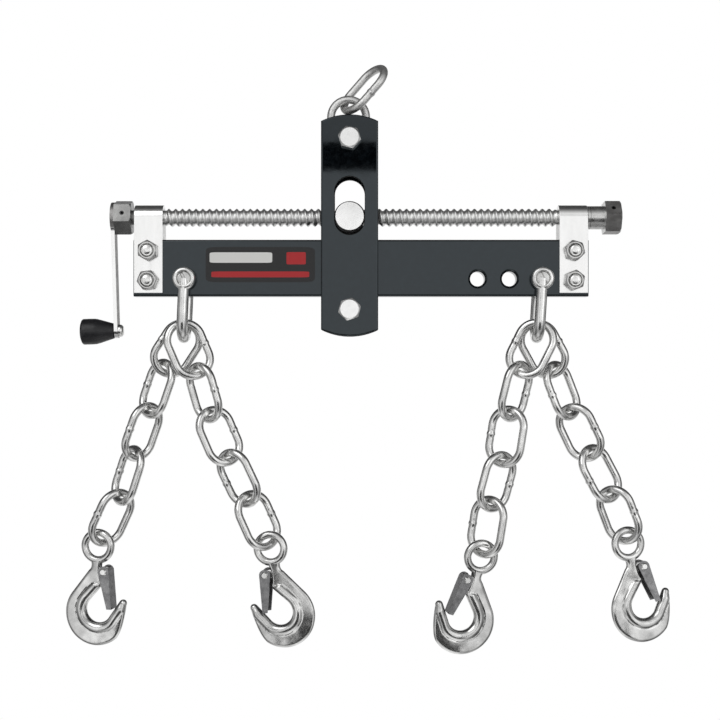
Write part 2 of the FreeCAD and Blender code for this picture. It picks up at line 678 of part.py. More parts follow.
def make_link(node, middle, tilt, roll):
    """A welded link: two half rings joined by two straight sides."""
    side, up, face = link_axes(tilt, roll)
    place = frame_of(side, up, face, middle)
    straight = link_half - link_radius
    centre = "(Sizes.link_width - Sizes.link_wire) / 2"
    top = ring(node + "_top", place * Placement(Vector(0, straight, 0), Rotation()), centre, "Sizes.link_wire",
               180)
    bottom = ring(node + "_bottom",
                  place * Placement(Vector(0, -straight, 0), Rotation(Z_AXIS, 180)), centre,
                  "Sizes.link_wire", 180)
    sides = [cylinder(f"{node}_side_{i}",
                      place * Placement(Vector(i * link_radius, -straight, 0), Rotation(X_AXIS, -90)),
                      "Sizes.link_wire", "Sizes.link_length - Sizes.link_width")
             for i in (-1, 1)]
    keep(node, fuse(node + "_link", top, bottom, *sides))


# Shackles

def shackle_x(which):
    """The X of a shackle's pin."""
    return left_hole if which == "left" else right_hole


def shackle_frame(which):
    """A shackle's own frame: its pin at the middle, Z up along its legs, Y along its pin."""
    side, up, face = link_axes(mm(f"{which}_shackle_lean"), 0)
    return frame_of(side, Y_AXIS, up, at(shackle_x(which), 0, hole_level))


def make_shackle(which):
    """A D shackle with round eyes, and the screw pin through it with a flat tab at the back."""
    node = f"{which}_shackle"
    frame = shackle_frame(which)
    spread = (mm("shackle_jaw") + mm("shackle_stock")) / 2
    bend = mm("shackle_reach") - spread
    bow_turn = Rotation(Y_AXIS, 90) * Rotation(Z_AXIS, -90)
    bow = ring(node + "_bow", frame * Placement(Vector(0, 0, -bend), bow_turn),
               "(Sizes.shackle_jaw + Sizes.shackle_stock) / 2", "Sizes.shackle_stock", 180)
    pieces = [bow]
    for side in (-1, 1):
        leg = cylinder(f"{node}_leg_{side + 1}", frame * Placement(Vector(0, side * spread, -bend), Rotation()),
                       "Sizes.shackle_stock", f"{bend}")
        start = Vector(0, side * spread - mm("shackle_stock") / 2, 0)
        eye = cylinder(f"{node}_eye_{side + 1}", frame * Placement(start, Rotation(Z_AXIS, Y_AXIS)),
                       "Sizes.shackle_eye_diameter", "Sizes.shackle_stock")
        pieces += [leg, rounded(f"{node}_eye_round_{side + 1}", eye, 2.5, lambda e: e.Closed)]
    wide = mm("shackle_jaw") + 2 * mm("shackle_stock")
    front = frame * Placement(Vector(0, -wide / 2, 0), Rotation(Z_AXIS, Y_AXIS))
    hole = cylinder(node + "_hole", front, "Sizes.shackle_pin_diameter + 2 * Sizes.shackle_pin_clearance",
                    "Sizes.shackle_jaw + 2 * Sizes.shackle_stock")
    keep(node, cut(node + "_drilled", fuse(node + "_solid", *pieces), hole))

    shank = cylinder(f"{which}_pin_shank", front, "Sizes.shackle_pin_diameter",
                     "Sizes.shackle_jaw + 2 * Sizes.shackle_stock")
    back = frame * Placement(Vector(0, wide / 2, 0), Rotation(Z_AXIS, Y_AXIS))
    collar = cylinder(f"{which}_pin_collar", back, "Sizes.shackle_pin_collar", "Sizes.shackle_pin_collar_height")
    tab_middle = Vector(0, wide / 2 + mm("shackle_pin_collar_height") + mm("shackle_pin_collar") * 0.35, 0)
    tab_place = frame * Placement(tab_middle - X_AXIS * mm("shackle_pin_tab") / 2, Rotation(Z_AXIS, X_AXIS))
    tab = cylinder(f"{which}_pin_tab", tab_place, "Sizes.shackle_pin_collar", "Sizes.shackle_pin_tab")
    eyelet = cylinder(f"{which}_pin_eyelet", tab_place, "Sizes.shackle_pin_collar * 0.42",
                      "Sizes.shackle_pin_tab")
    grip = cut(f"{which}_pin_grip", tab, eyelet)
    keep(f"{which}_shackle_pin", fuse(f"{which}_pin", shank, collar, grip))


# Chains

def chain_places(chain):
    """Where a chain's pieces are: (pivot, middle, tilt, roll) for each link, then the hook's pivot
    and the middle of its eye. Each pivot is where a piece turns on the one above."""
    c = CHAINS[chain]
    frame = shackle_frame(c["shackle"])
    spread = (mm("shackle_jaw") + mm("shackle_stock")) / 2
    row = c["row"] * mm("chain_row")
    bow = -(mm("shackle_reach") - spread) - math.sqrt(spread ** 2 - row ** 2)
    pivot = frame.multVec(Vector(0, row, bow))
    foot = (mm("link_wire") + mm("link_play")) / 2
    hang = 2 * link_half - (mm("shackle_stock") + mm("link_wire")) / 2 - foot
    links = []
    for tilt, roll, slack in zip(c["tilts"], c["rolls"], c["slacks"]):
        up = link_axes(tilt, 0)[1]
        below = pivot - up * (hang - slack)
        links.append((pivot, below + up * (link_half - foot), tilt, roll))
        pivot = below
        hang = 2 * (link_half - foot)
    return links, pivot, pivot + Vector(c["eye"][0], 0, c["eye"][1])


def hook_frame(chain):
    """A hook's own frame: its eye at the middle, X to its opening, Z up its shank."""
    c = CHAINS[chain]
    eye = chain_places(chain)[2]
    side, up, face = link_axes(c["hook_tilt"], c["hook_turn"])
    if c["opens"] < 0:
        side = side * -1
    return frame_of(side, up.cross(side), up, eye)


def polar(centre, angle, radius):
    """A point at an angle round a centre in the hook's plane."""
    a = math.radians(angle)
    return centre + Vector(math.cos(a), 0, math.sin(a)) * radius


def tangent_angle(centre, radius, point, way):
    """The angle round a circle where a line from a point outside touches it."""
    offset = point - centre
    return math.degrees(math.atan2(offset.z, offset.x) + way * math.acos(radius / offset.Length))


def hook_bead():
    """The round inner edge's middle line: where it starts under the lug, the throat's centre and
    radius with its first and last angles, and the tip's centre."""
    throat = Vector(mm("throat_shift"), 0, -mm("throat_drop"))
    radius = mm("throat_radius") + mm("bead_radius")
    start = Vector(mm("latch_pivot_out") - 6, 0, -mm("latch_pivot_drop") - 8.3)
    tip = Vector(mm("hook_tip_out"), 0, -mm("hook_tip_drop"))
    return (start, throat, radius, tangent_angle(throat, radius, start, 1),
            tangent_angle(throat, radius, tip, -1), tip)


def arc(centre, radius, first, last):
    """An arc in the hook's plane between two angles."""
    ends = [polar(centre, angle, radius) for angle in (first, (first + last) / 2, last)]
    return Part.Arc(*ends).toShape()


def hook_plate():
    """The flat of the forging: a shoulder and round back outside, the bead's middle line inside."""
    start, throat, radius, first, last, tip = hook_bead()
    outer = Vector(mm("hook_outer_shift"), 0, -mm("hook_outer_drop"))
    reach = mm("hook_outer_radius")
    left, right = neck_corners()
    shoulder = tangent_angle(outer, reach, left, 1)
    side = polar(outer, shoulder, reach)
    low = polar(outer, 308, reach)
    end = polar(throat, last, radius)
    crest = end + (tip - end) * 0.72 + X_AXIS
    swell = (low + crest) / 2 + Vector(3.4, 0, -1.6)
    begin = polar(throat, first, radius)
    waist = Vector(right.x - 1.1, 0, -mm("latch_pivot_drop") - 4.5)
    corners = [begin, start, waist, right, left, side]
    edges = [Part.makeLine(a, b) for a, b in zip(corners, corners[1:])]
    edges += [arc(outer, reach, shoulder, 308), Part.Arc(low, swell, crest).toShape(),
              Part.makeLine(crest, end), arc(throat, radius, last + 360, first)]
    thick = mm("hook_plate_thickness")
    plate = Part.Face(Part.Wire(Part.__sortEdges__(edges))).extrude(Y_AXIS * thick)
    plate.translate(Y_AXIS * -thick / 2)
    rim = [e for e in plate.Edges if e.BoundBox.YLength < 0.01
           and any(passes(e, spot) for spot in ((left + side) / 2, polar(outer, 225, reach), swell))]
    return plate.makeFillet(mm("hook_edge_radius"), rim)


def passes(edge, point):
    """Whether an edge of the plate runs over a point of the outline."""
    spot = Part.Vertex(Vector(point.x, edge.BoundBox.YMin, point.z))
    return edge.distToShape(spot)[0] < 0.05


def neck_corners():
    """The flat's top corners, where the neck meets it."""
    level = -mm("eye_radius") - 7
    return Vector(-7.9, 0, level), Vector(3.6, 0, level)


def hook_neck():
    """The neck, from inside the ring's wire to the flat's full thickness."""
    left, right = neck_corners()
    top = -mm("eye_radius") + 1.2
    thick, wire = mm("hook_plate_thickness") / 2, mm("eye_wire") / 2

    def rectangle(low, high, half, level):
        spots = [Vector(x, y, level) for x, y in ((low, -half), (high, -half), (high, half), (low, half))]
        return Part.makePolygon(spots + spots[:1])

    return Part.makeLoft([rectangle(left.x, right.x, thick, left.z), rectangle(-4, 3, 0.55 * wire, top)],
                         True, True)


def make_hook_forging():
    """The forging that all four hooks share, about its own eye: a ring, a flat with a round bead
    along its inner edge, and a lug for the latch."""
    start, throat, radius, first, last, tip = hook_bead()
    upright = Rotation(Z_AXIS, Y_AXIS)
    pivot = Vector(mm("latch_pivot_out"), 0, -mm("latch_pivot_drop"))
    half = Y_AXIS * mm("lug_thickness") / 2
    eye = ring("hook_eye", Placement(Vector(), upright), "Sizes.eye_radius", "Sizes.eye_wire")
    spun = Rotation(Y_AXIS, -first) * Rotation(X_AXIS, 90)
    bead = ring("hook_bead", Placement(throat, spun), "Sizes.throat_radius + Sizes.bead_radius",
                "2 * Sizes.bead_radius", last + 360 - first)
    begin = polar(throat, first, radius)
    stem = cylinder("hook_stem", along(begin - start, start), "2 * Sizes.bead_radius",
                    f"{(begin - start).Length}")
    knob = make("Part::Cone", "hook_knob", along(start - begin, start), Radius1="Sizes.bead_radius",
                Radius2="Sizes.bead_radius / 2", Height="0.9 * Sizes.bead_radius")
    end = polar(throat, last, radius)
    point = make("Part::Cone", "hook_point", along(tip - end, end), Radius1="Sizes.bead_radius",
                 Radius2="Sizes.hook_tip_radius", Height=f"{(tip - end).Length}")
    ball = make("Part::Sphere", "hook_ball", Placement(tip, Rotation()), Radius="Sizes.hook_tip_radius")
    lug = cylinder("hook_lug", Placement(pivot - half, upright), "2 * (Sizes.latch_pivot_radius - Sizes.latch_sheet - 0.4)",
                   "Sizes.lug_thickness")
    foot = block("hook_lug_foot", Placement(pivot - half - Vector(8, 0, 4), Rotation()), "8",
                 "Sizes.lug_thickness", "8")
    flat = shape("hook_flat", hook_plate())
    body = fuse("hook_body", eye, flat, shape("hook_neck", hook_neck()), bead, stem, knob, point, ball, lug, foot)
    hole = cylinder("hook_hole", Placement(pivot - Y_AXIS * 20, upright), "Sizes.latch_rivet_diameter", "40")
    return cut("hook_forging", body, hole)


def make_hook(chain, forging):
    """One hook, the shared forging at the foot of its chain."""
    keep(f"hook_{chain}", shape(f"hook_{chain}_placed", forging.Shape.copy(), hook_frame(chain)))


def latch_side(inset):
    """The latch from the side: a round end at the pivot and a back that runs down inside the tip."""
    pivot = Vector(mm("latch_pivot_out"), 0, -mm("latch_pivot_drop"))
    wide = mm("latch_pivot_radius")
    top = pivot + Vector(wide - inset, 0, 1.0)
    low = pivot + Vector(wide + 2.4 - inset, 0, -mm("latch_length"))
    heel = pivot + Vector(-wide, 0, -0.5)
    toe = low - X_AXIS * (mm("latch_tip_width") - inset)
    return pivot, top, low, toe, heel


def make_latch(chain):
    """A latch of folded sheet: two cheeks on the pivot and a back between them."""
    frame = hook_frame(chain)
    inside = mm("latch_inside") / 2
    outside = inside + mm("latch_sheet")
    pivot, top, low, toe, heel = latch_side(0)
    crown = Part.Arc(heel, pivot + Z_AXIS * mm("latch_pivot_radius"), top).toShape()
    edges = [Part.makeLine(a, b) for a, b in ((top, low), (low, toe), (toe, heel))]
    solid = Part.Face(Part.Wire(Part.__sortEdges__(edges + [crown]))).extrude(Y_AXIS * 2 * outside)
    solid.translate(Y_AXIS * -outside)
    pivot, top, low, toe, heel = latch_side(mm("latch_sheet"))
    down = (low - top).normalize()
    room = [top - down * 20, low + down * 20]
    room += [room[1] - X_AXIS * 40, room[0] - X_AXIS * 40]
    hollow = Part.Face(Part.makePolygon(room + room[:1])).extrude(Y_AXIS * 2 * inside)
    hollow.translate(Y_AXIS * -inside)
    hole = Part.makeCylinder(mm("latch_rivet_diameter") / 2 + mm("latch_rivet_clearance"), 4 * outside,
                             pivot - Y_AXIS * 2 * outside, Y_AXIS)
    keep(f"latch_{chain}", shape(f"latch_{chain}_sheet", solid.cut(hollow).cut(hole), frame))


def make_latch_rivet(chain):
    """The rivet that the latch turns on, and the torsion spring round it."""
    frame = hook_frame(chain)
    pivot = Vector(mm("latch_pivot_out"), 0, -mm("latch_pivot_drop"))
    outside = mm("latch_inside") / 2 + mm("latch_sheet") + 0.15
    head = 1.2
    shank = Part.makeCylinder(mm("latch_rivet_diameter") / 2, 2 * outside, pivot - Y_AXIS * outside, Y_AXIS)
    caps = []
    for side in (-1, 1):
        base = pivot + Y_AXIS * side * outside
        cap = Part.makeCone(mm("latch_rivet_head") / 2, mm("latch_rivet_head") / 2 - 0.8 * head, head, base,
                            Y_AXIS * side)
        caps.append(cap)
    rivet = shank.fuse(caps)
    wire = mm("spring_wire")
    coil_radius = mm("latch_rivet_diameter") / 2 + 0.15 + wire / 2
    room = (mm("latch_inside") - mm("lug_thickness")) / 2
    turns = 1.2
    pitch = wire * 1.06
    helix = Part.makeHelix(pitch, pitch * turns, coil_radius)
    section = Part.Wire([Part.makeCircle(wire / 2, Vector(coil_radius, 0, 0), Y_AXIS)])
    coil = Part.Wire(helix.Edges).makePipeShell([section], True, True)
    start = (room - pitch * turns) / 2
    coil.Placement = along(-Y_AXIS, pivot - Y_AXIS * (mm("lug_thickness") / 2 + start))
    keep(f"latch_rivet_{chain}", shape(f"latch_rivet_{chain}_set", Part.makeCompound([rivet, coil]), frame))


def make_all():
    """Every sub-part of the load leveler."""
    make_beam()
    make_strap("left_strap", -1)
    make_strap("right_strap", 1)
    make_bearing_blocks()
    make_strap_bolts()
    make_screw()
    make_crank_hub()
    make_drive_hex()
    make_thrust_washer()
    make_roll_pins()
    make_crank()
    make_plate("front_plate", -plate_in, -1)
    make_plate("back_plate", plate_in, 1)
    make_carriage_hardware()
    make_trunnion_nut()
    make_link("lower_link", at(*lower_middle), 0, 0)
    make_link("upper_link", at(*upper_middle), mm("upper_link_lean"), mm("upper_link_roll"))
    for which in ("left", "right"):
        make_shackle(which)
    forging = make_hook_forging()
    doc.recompute()
    for chain in CHAINS:
        for i, (pivot, middle, tilt, roll) in enumerate(chain_places(chain)[0], 1):
            make_link(f"link_{chain}_{i}", middle, tilt, roll)
        make_hook(chain, forging)
        make_latch(chain)
        make_latch_rivet(chain)


def export():
    """Check every object, then write each sub-part to its own file."""
    doc.recompute()
    for thing in doc.Objects:
        if "Invalid" in thing.State or "Error" in thing.State:
            raise RuntimeError(f"{thing.Label} failed to build")
    for node, piece in nodes.items():
        if piece.Shape.isNull() or not piece.Shape.isValid() or not piece.Shape.Solids:
            raise RuntimeError(f"{node} has no valid shape")
    os.makedirs("parts", exist_ok=True)
    for node, piece in nodes.items():
        piece.Shape.exportStep(f"parts/{node}.step")
    print(len(nodes), "sub-parts written")


make_all()
export()
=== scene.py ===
# %% [markdown]
# # Engine load leveler
# The real tool hangs from a workshop crane. A crank turns a screw, the screw draws a painted beam
# through a slotted carriage, and four hook chains hang from the beam on two shackles.
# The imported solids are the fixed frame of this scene, in metres, with +Z up and the front at -Y.
# A solid whose shape is already right only gets a finish. The wire, forged, threaded and turned
# pieces are made again here as finer surfaces, in the same places.

import json
import math

import bmesh
import bpy
import numpy as np
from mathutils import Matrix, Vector


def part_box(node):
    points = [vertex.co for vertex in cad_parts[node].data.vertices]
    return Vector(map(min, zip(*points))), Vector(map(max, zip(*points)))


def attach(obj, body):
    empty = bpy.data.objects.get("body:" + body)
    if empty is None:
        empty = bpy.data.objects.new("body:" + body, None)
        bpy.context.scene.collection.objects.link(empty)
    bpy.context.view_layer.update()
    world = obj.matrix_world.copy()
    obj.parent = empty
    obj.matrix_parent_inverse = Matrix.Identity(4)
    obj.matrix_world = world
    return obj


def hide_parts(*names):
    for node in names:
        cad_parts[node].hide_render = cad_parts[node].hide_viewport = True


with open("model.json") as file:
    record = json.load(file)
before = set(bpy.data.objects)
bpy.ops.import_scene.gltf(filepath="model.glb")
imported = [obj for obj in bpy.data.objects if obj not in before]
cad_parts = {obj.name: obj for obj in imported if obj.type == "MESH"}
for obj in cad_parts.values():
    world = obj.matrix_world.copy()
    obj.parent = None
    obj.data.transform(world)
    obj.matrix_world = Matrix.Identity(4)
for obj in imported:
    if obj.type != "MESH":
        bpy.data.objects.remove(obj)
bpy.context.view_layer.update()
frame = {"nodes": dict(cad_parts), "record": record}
NODES = frame["nodes"]
RECORD = frame["record"]
JOINTS = {joint["name"]: joint for joint in RECORD["behaviour"]["joints"]}
MOUNTS = {mount["name"]: mount for mount in RECORD["mounts"]}
BODY_OF = {node: body for body, nodes in RECORD["behaviour"]["bodies"].items() for node in nodes}
MM = 0.001
X, Y, Z = np.eye(3)

# %% [markdown]
# ## Surfaces from arrays
# A turned, rolled or forged piece is a sheet of points with two numbers for each point: one along
# the piece and one round it. Curves and the Screw modifier make such pieces too, but an array can
# carry a weld, a thread or a slot at any point. Each sheet is worked out whole, in millimetres, and
# every four neighbouring points make a face. Blender then merges the seams and turns the faces
# outwards.

# %% grids to meshes
MERGE_DISTANCE = 2e-6


def grid_faces(rows, columns, closed_rows=False):
    """Quads of a rows x columns grid: (i, j), (i, j + 1), (i + 1, j + 1), (i + 1, j), columns closed."""
    i, j = np.meshgrid(np.arange(rows if closed_rows else rows - 1), np.arange(columns), indexing="ij")
    k, m = (i + 1) % rows, (j + 1) % columns
    return np.stack([i * columns + j, i * columns + m, k * columns + m, k * columns + j], -1).reshape(-1, 4)


def make_piece(name, sheets, sharp=35):
    """One mesh object from sheets of points (rows, columns, 3) in mm; a sheet may be (points, True)
    where its rows close on themselves, as round a ring. Edges past the sharp angle stay crisp."""
    points, quads, count = [], [], 0
    for sheet in sheets:
        grid, ring = sheet if isinstance(sheet, tuple) else (sheet, False)
        points.append(grid.reshape(-1, 3) * MM)
        quads.append(grid_faces(grid.shape[0], grid.shape[1], ring) + count)
        count += len(points[-1])
    mesh = bpy.data.meshes.new(name)
    mesh.from_pydata(np.concatenate(points), [], np.concatenate(quads))
    merged = bmesh.new()
    merged.from_mesh(mesh)
    bmesh.ops.remove_doubles(merged, verts=merged.verts, dist=MERGE_DISTANCE)
    bmesh.ops.recalc_face_normals(merged, faces=merged.faces)
    merged.to_mesh(mesh)
    merged.free()
    mesh.shade_smooth()
    mesh.set_sharp_from_angle(angle=math.radians(sharp))
    piece = bpy.data.objects.new(name, mesh)
    bpy.context.collection.objects.link(piece)
    return piece


print("a grid of 3 rows and 4 columns has", len(grid_faces(3, 4)), "faces")

# %% turned pieces and bars
def unit(vector):
    """A vector of length one, or each row of an array made so."""
    vector = np.asarray(vector, float)
    return vector / np.linalg.norm(vector, axis=-1, keepdims=True)


def placed(local, origin, x_axis, y_axis, z_axis):
    """Local points moved to a frame: origin + x * x_axis + y * y_axis + z * z_axis."""
    return np.asarray(origin) + local @ np.stack([x_axis, y_axis, z_axis])


def round_angles(steps):
    """Angles at equal steps once round."""
    return np.arange(steps) / steps * 2 * np.pi


def turned(stations, radii, around):
    """A turned surface: at each station along z a circle of that radius, (r cos a, r sin a, z).
    Radii may be an array (stations, around) where the section isn't round."""
    a = round_angles(around)
    z = np.broadcast_to(np.asarray(stations, float)[:, None], (len(stations), around))
    r = np.broadcast_to(np.asarray(radii, float).reshape(len(stations), -1), z.shape)
    return np.stack([r * np.cos(a), r * np.sin(a), z], -1)


def tube(path, normal, radius, around, ring=True):
    """A round bar along a flat path: path + r (cos a N + sin a B), with B square to the path's plane
    and N in it, square to the path. Radius is a number or an array (path, around), and ring says
    that the path closes on itself."""
    ahead = np.roll(path, -1, 0) - np.roll(path, 1, 0) if ring else np.gradient(path, axis=0)
    inward = np.cross(normal, unit(ahead))
    a = round_angles(around)[:, None]
    r = np.broadcast_to(radius, (len(path), around))[..., None]
    return path[:, None] + r * (np.cos(a) * inward[:, None] + np.sin(a) * np.asarray(normal))


def closing(row):
    """A row drawn in to its own middle, which closes an open end."""
    return np.broadcast_to(row.mean(1, keepdims=True), row.shape)


print("a turned cone of 2 stations:", turned([0, 1], [1, 0], 8).shape)

# %% [markdown]
# ## Reading places from the solids
# A place that is typed in twice soon differs, so places are read from the frame. A link's or
# shackle's axes come from how its solid spreads out, a bolt's turn from its farthest corners, and a
# hook's place from its latch joint and its throat. Only the sticker and the weld tacks have places
# of their own, measured from the beam's middle and the screw's axis.

# %% where the solids are
def node_mesh(node):
    """A solid's corners in mm and its triangles."""
    mesh = NODES[node].data
    points = np.empty(len(mesh.vertices) * 3, np.float32)
    mesh.vertices.foreach_get("co", points)
    mesh.calc_loop_triangles()
    triangles = np.empty(len(mesh.loop_triangles) * 3, np.int32)
    mesh.loop_triangles.foreach_get("vertices", triangles)
    return points.reshape(-1, 3).astype(float) / MM, triangles.reshape(-1, 3)


def main_axes(node):
    """Middle and three axes of a solid, longest first: the spread of its triangles by their area."""
    points, triangles = node_mesh(node)
    corners = points[triangles]
    area = np.linalg.norm(np.cross(corners[:, 1] - corners[:, 0], corners[:, 2] - corners[:, 0]), axis=1)
    middles = corners.mean(1)
    centre = np.average(middles, axis=0, weights=area)
    scatter = np.einsum("n,ni,nj->ij", area, middles - centre, middles - centre)
    axes = np.linalg.eigh(scatter)[1].T[::-1]
    signs = np.sign(axes[np.arange(3), np.abs(axes).argmax(1)])
    return centre, axes * signs[:, None]


def box_mm(node):
    """A solid's lowest and highest corners in mm."""
    return [np.array(corner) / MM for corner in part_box(node)]


def joint_mm(name):
    """A joint's place in mm, and its axis."""
    return np.array(JOINTS[name]["pos_m"]) / MM, np.array(JOINTS[name]["axis"], float)


SCREW_AXIS = joint_mm("screw_spin")[0]
BEAM_LOW, BEAM_HIGH = box_mm("beam")
BEAM_MIDDLE_X = (BEAM_LOW[0] + BEAM_HIGH[0]) / 2
print("screw axis at height", round(SCREW_AXIS[2], 1), "mm, beam middle at X", round(BEAM_MIDDLE_X, 1))

# %% [markdown]
# ## Finishes
# Most of the tool is zinc-plated steel: bright, a little cloudy and never quite smooth. The beam and
# plates have thick black gloss paint, the latches are dull pressed sheet, and the grip is plastic.
# Pictures could carry these marks, but they stretch over bent wire. Each finish here is a shader
# with noise in the object's own coordinates, which has the same grain on every side. Constant values
# are written on the shader itself.

# %% helpers for finishes
def new_finish(name, color, metallic, roughness, **sockets):
    """A principled shader with its constant values, and its node tree."""
    material = bpy.data.materials.new(name)
    material.use_nodes = True
    shader = material.node_tree.nodes["Principled BSDF"]
    shader.inputs["Base Color"].default_value = (*color, 1)
    shader.inputs["Metallic"].default_value = metallic
    shader.inputs["Roughness"].default_value = roughness
    for socket, value in sockets.items():
        shader.inputs[socket.replace("_", " ")].default_value = value
    return material, material.node_tree, shader


def noise(tree, scale, detail, stretch=(1, 1, 1)):
    """A noise of so many grains to a metre, with each axis scaled by a factor; its factor socket."""
    place = tree.nodes.new("ShaderNodeTexCoord")
    mapping = tree.nodes.new("ShaderNodeMapping")
    mapping.inputs["Scale"].default_value = stretch
    grain = tree.nodes.new("ShaderNodeTexNoise")
    grain.inputs["Scale"].default_value = scale
    grain.inputs["Detail"].default_value = detail
    tree.links.new(place.outputs["Object"], mapping.inputs["Vector"])
    tree.links.new(mapping.outputs["Vector"], grain.inputs["Vector"])
    return grain.outputs["Fac"]


def spread(tree, factor, low, high, start=0.3, end=0.7):
    """A factor between start and end, spread to the values from low to high."""
    ranged = tree.nodes.new("ShaderNodeMapRange")
    for socket, value in (("From Min", start), ("From Max", end), ("To Min", low), ("To Max", high)):
        ranged.inputs[socket].default_value = value
    tree.links.new(factor, ranged.inputs["Value"])
    return ranged.outputs["Result"]


def vary_color(tree, shader, factor, first, second, start=0.3, end=0.7):
    """The base colour goes from first to second as a factor goes from start to end."""
    mix = tree.nodes.new("ShaderNodeMix")
    mix.data_type = "RGBA"
    mix.inputs["A"].default_value = (*first, 1)
    mix.inputs["B"].default_value = (*second, 1)
    tree.links.new(spread(tree, factor, 0, 1, start, end), mix.inputs["Factor"])
    tree.links.new(mix.outputs["Result"], shader.inputs["Base Color"])


def vary_roughness(tree, shader, factor, smooth, rough):
    """The roughness goes from smooth to rough with a factor."""
    tree.links.new(spread(tree, factor, smooth, rough), shader.inputs["Roughness"])


def relief(tree, shader, *layers):
    """Bumps on the surface, one over another: each layer is (height factor, depth in mm, strength)."""
    normal = None
    for height, depth, strength in layers:
        bump = tree.nodes.new("ShaderNodeBump")
        bump.inputs["Distance"].default_value = depth * MM
        bump.inputs["Strength"].default_value = strength
        tree.links.new(height, bump.inputs["Height"])
        if normal is not None:
            tree.links.new(normal, bump.inputs["Normal"])
        normal = bump.outputs["Normal"]
    tree.links.new(normal, shader.inputs["Normal"])


print("materials before the finishes:", len(bpy.data.materials))

# %% zinc finishes
CLOUD_SCALE, SHEEN_SCALE, RIPPLE_SCALE, SWELL_SCALE = 90, 260, 120, 40
GRAIN_STRENGTH, RIPPLE_DEPTH, RIPPLE_STRENGTH = 0.5, 0.08, 0.2


def zinc_finish(name, dark, light, smooth, rough, grain, grain_depth, stretch=(1, 1, 1), swell=0.0):
    """Zinc plate: clouds of two greys, a sheen with clouds of its own, a fine grain, faint ripples,
    and the slow swell in mm that forging leaves."""
    material, tree, shader = new_finish(name, light, 1.0, smooth)
    vary_color(tree, shader, noise(tree, CLOUD_SCALE, 4, stretch), dark, light)
    vary_roughness(tree, shader, noise(tree, SHEEN_SCALE, 3, stretch), smooth, rough)
    layers = [(noise(tree, grain, 4, stretch), grain_depth, GRAIN_STRENGTH),
              (noise(tree, RIPPLE_SCALE, 2), RIPPLE_DEPTH, RIPPLE_STRENGTH)]
    if swell:
        layers.append((noise(tree, SWELL_SCALE, 1), swell, 1.0))
    relief(tree, shader, *layers)
    return material


WIRE_ZINC = zinc_finish("wire_zinc", (0.64, 0.64, 0.635), (0.90, 0.90, 0.89), 0.17, 0.26, 900, 0.006)
LIFT_ZINC = zinc_finish("lift_zinc", (0.62, 0.62, 0.615), (0.78, 0.78, 0.77), 0.38, 0.50, 900, 0.02)
FORGED_ZINC = zinc_finish("forged_zinc", (0.50, 0.50, 0.495), (0.86, 0.86, 0.85), 0.14, 0.24, 1700, 0.035,
                          swell=1.8)
STRIP_ZINC = zinc_finish("strip_zinc", (0.90, 0.90, 0.895), (0.96, 0.96, 0.955), 0.14, 0.22, 700, 0.006,
                         stretch=(1, 1, 0.2))
SCREW_ZINC = zinc_finish("screw_zinc", (0.80, 0.80, 0.795), (0.94, 0.94, 0.93), 0.30, 0.42, 900, 0.02)
TURNED_ZINC = zinc_finish("turned_zinc", (0.56, 0.56, 0.555), (0.72, 0.72, 0.71), 0.22, 0.36, 900, 0.03)
HUB_STEEL = zinc_finish("hub_steel", (0.19, 0.19, 0.188), (0.28, 0.28, 0.275), 0.22, 0.34, 900, 0.03)
# Dark steel for the drive hexagon's flats, and painted shade on the crank arm's wide faces.
HEX_AND_ARM_SHADE_STEEL = zinc_finish("hex_and_arm_shade_steel", (0.26, 0.255, 0.25), (0.40, 0.395, 0.39), 0.36, 0.50, 900, 0.03)
BOLT_ZINC = zinc_finish("bolt_zinc", (0.80, 0.80, 0.79), (0.93, 0.93, 0.92), 0.16, 0.30, 800, 0.02)
FACED_ZINC = zinc_finish("faced_zinc", (0.93, 0.93, 0.925), (0.97, 0.97, 0.965), 0.20, 0.28, 800, 0.008)
# Near-black steel: the roll pins' black, and painted shade on the cross nut's barrel and on the rings beside
# it, where the gap below the nut is dark.
PAINTED_SHADE_BLACK_STEEL = zinc_finish("painted_shade_black_steel", (0.03, 0.03, 0.03), (0.07, 0.07, 0.072), 0.30, 0.45, 900, 0.05)
print("zinc and steel finishes:", sum(m.name.endswith(("zinc", "steel")) for m in bpy.data.materials))

# %% paint, sheet and plastic
def black_paint():
    """Thick gloss paint: nearly black and a little blue, with the faint orange peel of sprayed paint."""
    material, tree, shader = new_finish("black_gloss_paint", (0.002, 0.003, 0.004), 0.0, 0.03, IOR=1.64,
                                        Specular_Tint=(0.82, 0.93, 1.0, 1.0))
    vary_color(tree, shader, noise(tree, 300, 5), (0.0015, 0.0022, 0.003), (0.005, 0.007, 0.009), 0.45, 0.75)
    vary_roughness(tree, shader, noise(tree, 150, 3), 0.02, 0.04)
    relief(tree, shader, (noise(tree, 180, 2), 0.02, 0.06))
    return material


def rubbed_black():
    """Paint on the cut edges of the plates: thin, greasy and without gloss."""
    material, tree, shader = new_finish("rubbed_black", (0.003, 0.0035, 0.004), 0.0, 0.8,
                                        Specular_IOR_Level=0.08)
    vary_roughness(tree, shader, noise(tree, 400, 3), 0.7, 0.9)
    return material


def latch_sheet():
    """Pressed sheet steel with a dull dark plating and fine drawn lines along its length."""
    material, tree, shader = new_finish("latch_sheet", (0.28, 0.28, 0.285), 0.9, 0.34)
    vary_color(tree, shader, noise(tree, 220, 4), (0.20, 0.20, 0.205), (0.36, 0.36, 0.365))
    vary_roughness(tree, shader, noise(tree, 500, 3), 0.28, 0.40)
    relief(tree, shader, (noise(tree, 900, 3, (1, 1, 0.15)), 0.03, 0.4))
    return material


def grip_plastic():
    """Moulded black plastic with a soft sheen and a fine spark-eroded grain."""
    material, tree, shader = new_finish("grip_plastic", (0.012, 0.012, 0.014), 0.0, 0.36, IOR=1.48)
    vary_color(tree, shader, noise(tree, 420, 5), (0.010, 0.010, 0.012), (0.024, 0.024, 0.028), 0.5, 0.8)
    vary_roughness(tree, shader, noise(tree, 700, 3), 0.30, 0.44)
    relief(tree, shader, (noise(tree, 2600, 2), 0.04, 0.25))
    return material


